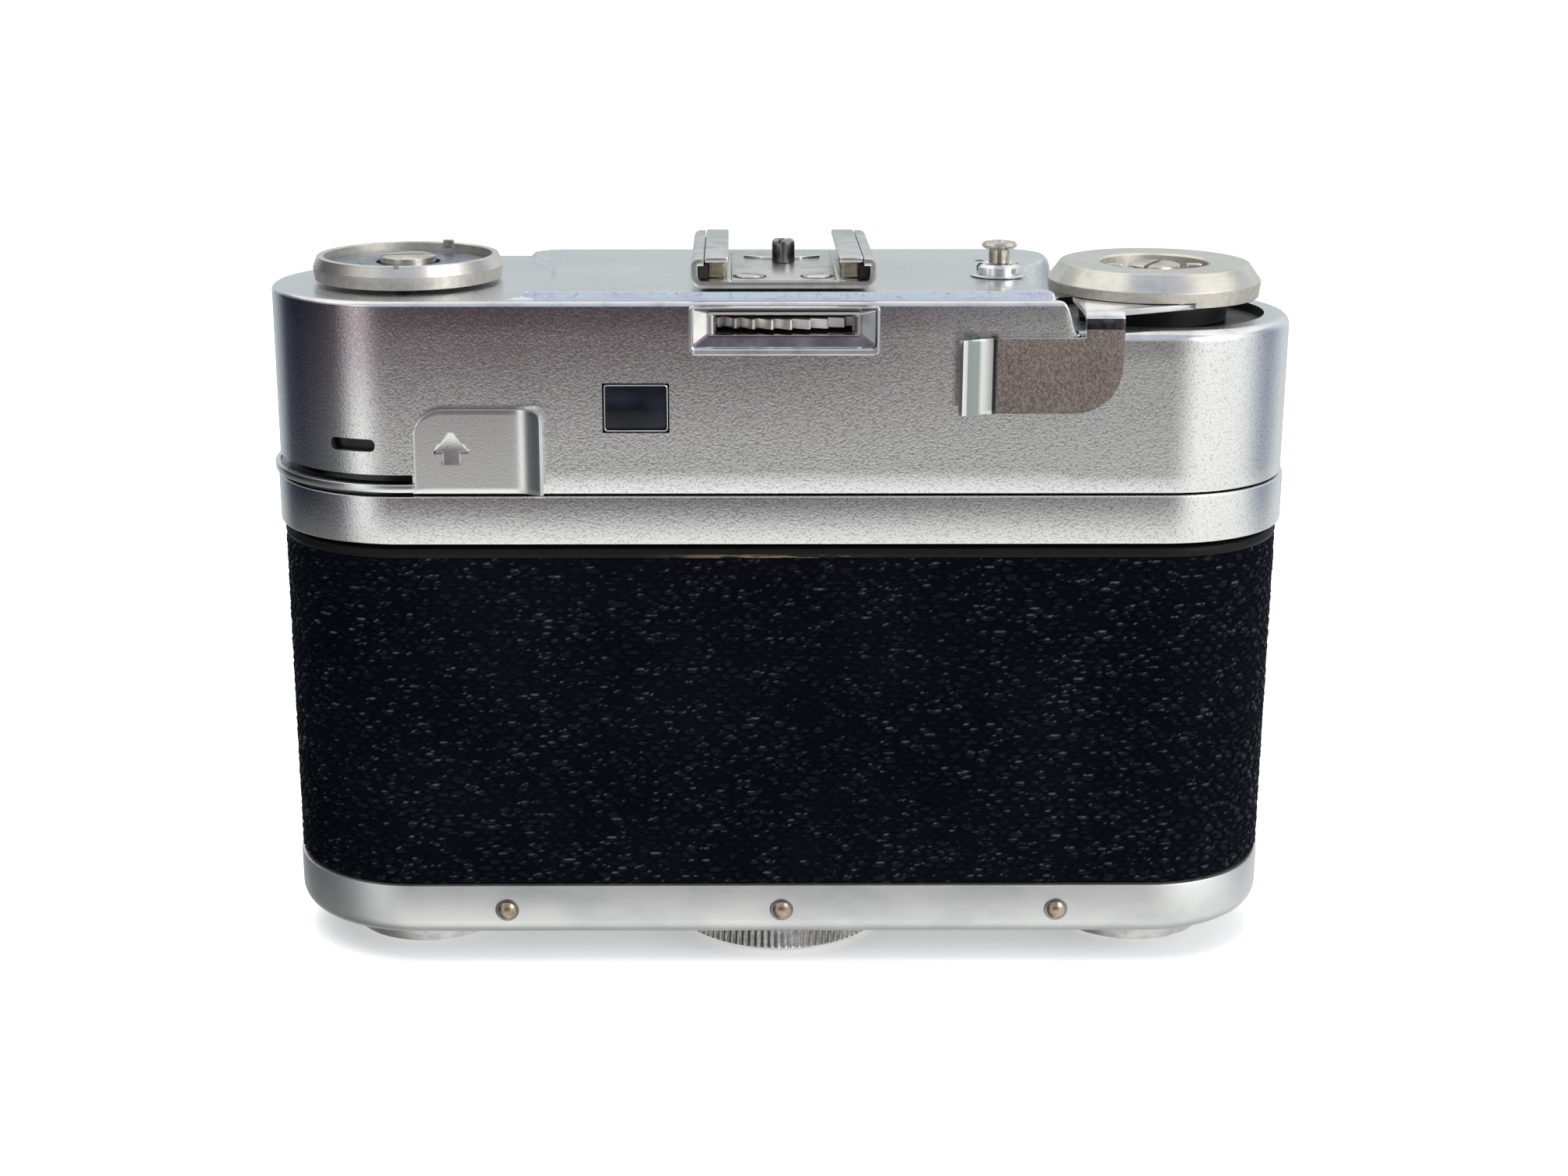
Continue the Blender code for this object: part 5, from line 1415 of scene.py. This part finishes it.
build_housing()
build_back_leather()
build_front_leather()
build_shells()
build_base_parts()
build_rewind()
build_rewind_release()
build_advance()
build_release()
build_shoe()
build_bezel()
build_windows()
build_lens()

SLOT_LOOKS = {
    "satin_chrome": RING_CHROME, "polished_chrome": POLISHED, "nickel": NICKEL, "aluminium": ALUMINIUM,
    "black_metal": BLACK, "leather": LEATHER, "brass": BRASS, "spring_steel": STEEL, "glass": GLASS,
}
for name, obj in frame["nodes"].items():
    obj.data.materials.clear()
    obj.data.materials.append(SLOT_LOOKS[SLOT_OF[name]])
    obj.data.shade_smooth()
    obj.data.set_sharp_from_angle(angle=math.radians(30))


# ---------------------------------------------------------------- stage, light and camera

FLOOR = bpy.data.meshes.new("floor")
FLOOR.from_pydata([(-6, -6, 0), (6, -6, 0), (6, 6, 0), (-6, 6, 0)], [], [(0, 1, 2, 3)])
floor = bpy.data.objects.new("floor", FLOOR)
floor.location = (0, 0, -0.0002)
bpy.context.scene.collection.objects.link(floor)
look = Look("floor_white")
shade = look.mix(look.remap(look.noise(3, 2), 0.3, 0.7), (0.90, 0.90, 0.90), (0.93, 0.93, 0.93))
FLOOR.materials.append(look.done(shade, 0.0, 0.7))
look.shader.inputs["Specular IOR Level"].default_value = 0.0
look.feed(look.shader.inputs["Emission Color"], (1.0, 1.0, 1.0, 1.0))
look.shader.inputs["Emission Strength"].default_value = 0.30
# The floor is only seen and shadowed: the world's lower half stands for its light.
floor.visible_glossy = floor.visible_diffuse = floor.visible_shadow = floor.visible_transmission = False

WORLD = bpy.data.worlds.new("studio")
bpy.context.scene.world = WORLD
WORLD.use_nodes = True
tree = WORLD.node_tree
tree.nodes.clear()


def world_node(kind, **settings):
    made = tree.nodes.new(kind)
    for key, value in settings.items():
        setattr(made, key, value)
    return made


def ramp(value, low, high, stops):
    """Colours along a value, its stops given in the value's own units."""
    scale = world_node("ShaderNodeMapRange")
    scale.inputs["From Min"].default_value, scale.inputs["From Max"].default_value = low, high
    tree.links.new(value, scale.inputs["Value"])
    made = world_node("ShaderNodeValToRGB")
    made.color_ramp.interpolation = "EASE"
    places = [(at - low) / (high - low) for at, _ in stops]
    first, last = made.color_ramp.elements
    first.position, last.position = places[0], places[-1]
    first.color, last.color = (*stops[0][1], 1), (*stops[-1][1], 1)
    for place, (_, colour) in list(zip(places, stops))[1:-1]:
        made.color_ramp.elements.new(place).color = (*colour, 1)
    tree.links.new(scale.outputs["Result"], made.inputs["Fac"])
    return made.outputs["Color"]


def grey(value):
    return (value, value, value)


direction = world_node("ShaderNodeTexCoord").outputs["Generated"]
parts = world_node("ShaderNodeSeparateXYZ")
tree.links.new(direction, parts.inputs[0])
flip = world_node("ShaderNodeMath", operation="MULTIPLY")
flip.inputs[1].default_value = -1.0
tree.links.new(parts.outputs["Y"], flip.inputs[0])
azimuth = world_node("ShaderNodeMath", operation="ARCTAN2")
tree.links.new(parts.outputs["X"], azimuth.inputs[0])
tree.links.new(flip.outputs[0], azimuth.inputs[1])
HALF_TURN = math.pi


def by_azimuth(stops):
    return ramp(azimuth.outputs[0], -HALF_TURN, HALF_TURN, [(math.radians(a), c) for a, c in stops])


def by_height(stops):
    return ramp(parts.outputs["Z"], -1.0, 1.0, stops)


def blend_of(factor, first, second, kind="MIX"):
    made = world_node("ShaderNodeMix", data_type="RGBA", blend_type=kind)
    for socket, value in zip((made.inputs[0], made.inputs[6], made.inputs[7]), (factor, first, second)):
        if hasattr(value, "is_output"):
            tree.links.new(value, socket)
        else:
            socket.default_value = value
    return made.outputs[2]


# Azimuths in degrees: 0 is the photographer, negative to the left, 180 behind the camera's lens side.
HORIZON = [(-180, (0.56, 0.61, 0.62)), (-152, (0.56, 0.61, 0.64)), (-138, (0.34, 0.37, 0.41)),
           (-122, (0.03, 0.035, 0.06)), (-100, (0.008, 0.012, 0.028)), (-84, (0.03, 0.03, 0.045)),
           (-58, (0.10, 0.10, 0.12)), (-38, (1.15, 1.15, 1.15)), (-20, (0.18, 0.168, 0.176)),
           (0, (0.125, 0.112, 0.12)), (12, (0.20, 0.195, 0.192)), (34, (1.05, 1.05, 1.03)),
           (70, (1.0, 1.0, 1.0)), (104, (0.28, 0.33, 0.41)), (140, (0.72, 0.75, 0.78)),
           (180, (0.56, 0.61, 0.62))]
TABLE = [(-180, grey(0.80)), (-150, grey(0.60)), (-126, grey(0.18)), (-66, grey(0.20)), (-42, grey(0.75)),
         (-20, grey(1.12)), (0, grey(1.12)), (20, grey(1.02)), (90, grey(0.98)), (110, grey(0.66)),
         (140, grey(0.85)), (180, grey(0.80))]
UPPER = [(-180, grey(0.95)), (-62, (1.12, 1.10, 1.04)), (-48, (0.56, 0.61, 0.72)), (48, (0.56, 0.61, 0.72)),
         (62, (1.12, 1.10, 1.04)), (180, grey(0.95))]
low_band = by_height([(-1.0, grey(1)), (-0.42, grey(1)), (-0.31, grey(0.72)), (-0.205, grey(0.09)),
                      (-0.16, grey(0)), (1.0, grey(0))])
glow = by_height([(-1.0, grey(0)), (0.14, grey(0)), (0.26, grey(1)), (0.48, grey(1)), (0.62, grey(0)),
                  (1.0, grey(0))])
high_band = by_height([(-1.0, grey(0)), (0.40, grey(0)), (0.62, grey(1)), (1.0, grey(1))])
horizon = blend_of(low_band, by_azimuth(HORIZON),
                   blend_of(1.0, by_azimuth(TABLE), (1.0, 1.0, 0.98, 1), "MULTIPLY"))
share = by_azimuth([(-180, grey(0.10)), (-95, grey(0.10)), (-60, grey(0.28)), (60, grey(0.28)),
                    (95, grey(0.10)), (180, grey(0.10))])
horizon = blend_of(blend_of(1.0, glow, share, "MULTIPLY"), horizon, (1.30, 1.30, 1.28, 1))
surroundings = blend_of(high_band, horizon, by_azimuth(UPPER))
lit = world_node("ShaderNodeBackground")
tree.links.new(surroundings, lit.inputs["Color"])
lit.inputs["Strength"].default_value = 1.0
plain = world_node("ShaderNodeBackground")
plain.inputs["Color"].default_value = (1, 1, 1, 1)
plain.inputs["Strength"].default_value = 1.1
paths = world_node("ShaderNodeLightPath")
choose = world_node("ShaderNodeMixShader")
tree.links.new(paths.outputs["Is Camera Ray"], choose.inputs[0])
tree.links.new(lit.outputs[0], choose.inputs[1])
tree.links.new(plain.outputs[0], choose.inputs[2])
output = world_node("ShaderNodeOutputWorld")
tree.links.new(choose.outputs[0], output.inputs["Surface"])
bpy.context.scene.view_settings.view_transform = "Standard"


def area_light(name, place, aim, size, energy, colour=(1, 1, 1)):
    data = bpy.data.lights.new(name, "AREA")
    data.shape, data.size, data.size_y = "RECTANGLE", size[0], size[1]
    data.energy, data.color = energy, colour
    light = bpy.data.objects.new(name, data)
    light.location = place
    light.rotation_euler = (Vector(aim) - Vector(place)).to_track_quat("-Z", "Y").to_euler()
    bpy.context.scene.collection.objects.link(light)
    return light


area_light("overhead", (-0.10, 0.05, 0.75), (0, 0, 0.05), (0.9, 0.6), 5.0).visible_glossy = False
area_light("right_soft", (0.50, -0.42, 0.35), (0.03, 0, 0.05), (0.35, 0.4), 1.6, (1.0, 0.99, 0.97))

camera_data = bpy.data.cameras.new("photo_camera")
camera_data.sensor_width, camera_data.sensor_fit = 36.0, "HORIZONTAL"
camera_data.lens = 55.286
camera_data.shift_x, camera_data.shift_y = 0.0246, 0.0090
camera_data.clip_start = 0.01
camera = bpy.data.objects.new("photo_camera", camera_data)
camera.location = ORIGIN + Vector((-5.380, -272.551, 118.987)) * MM
camera.rotation_euler = (math.radians(90 - 16.309), 0, math.radians(-0.269))
bpy.context.scene.collection.objects.link(camera)
bpy.context.scene.camera = camera
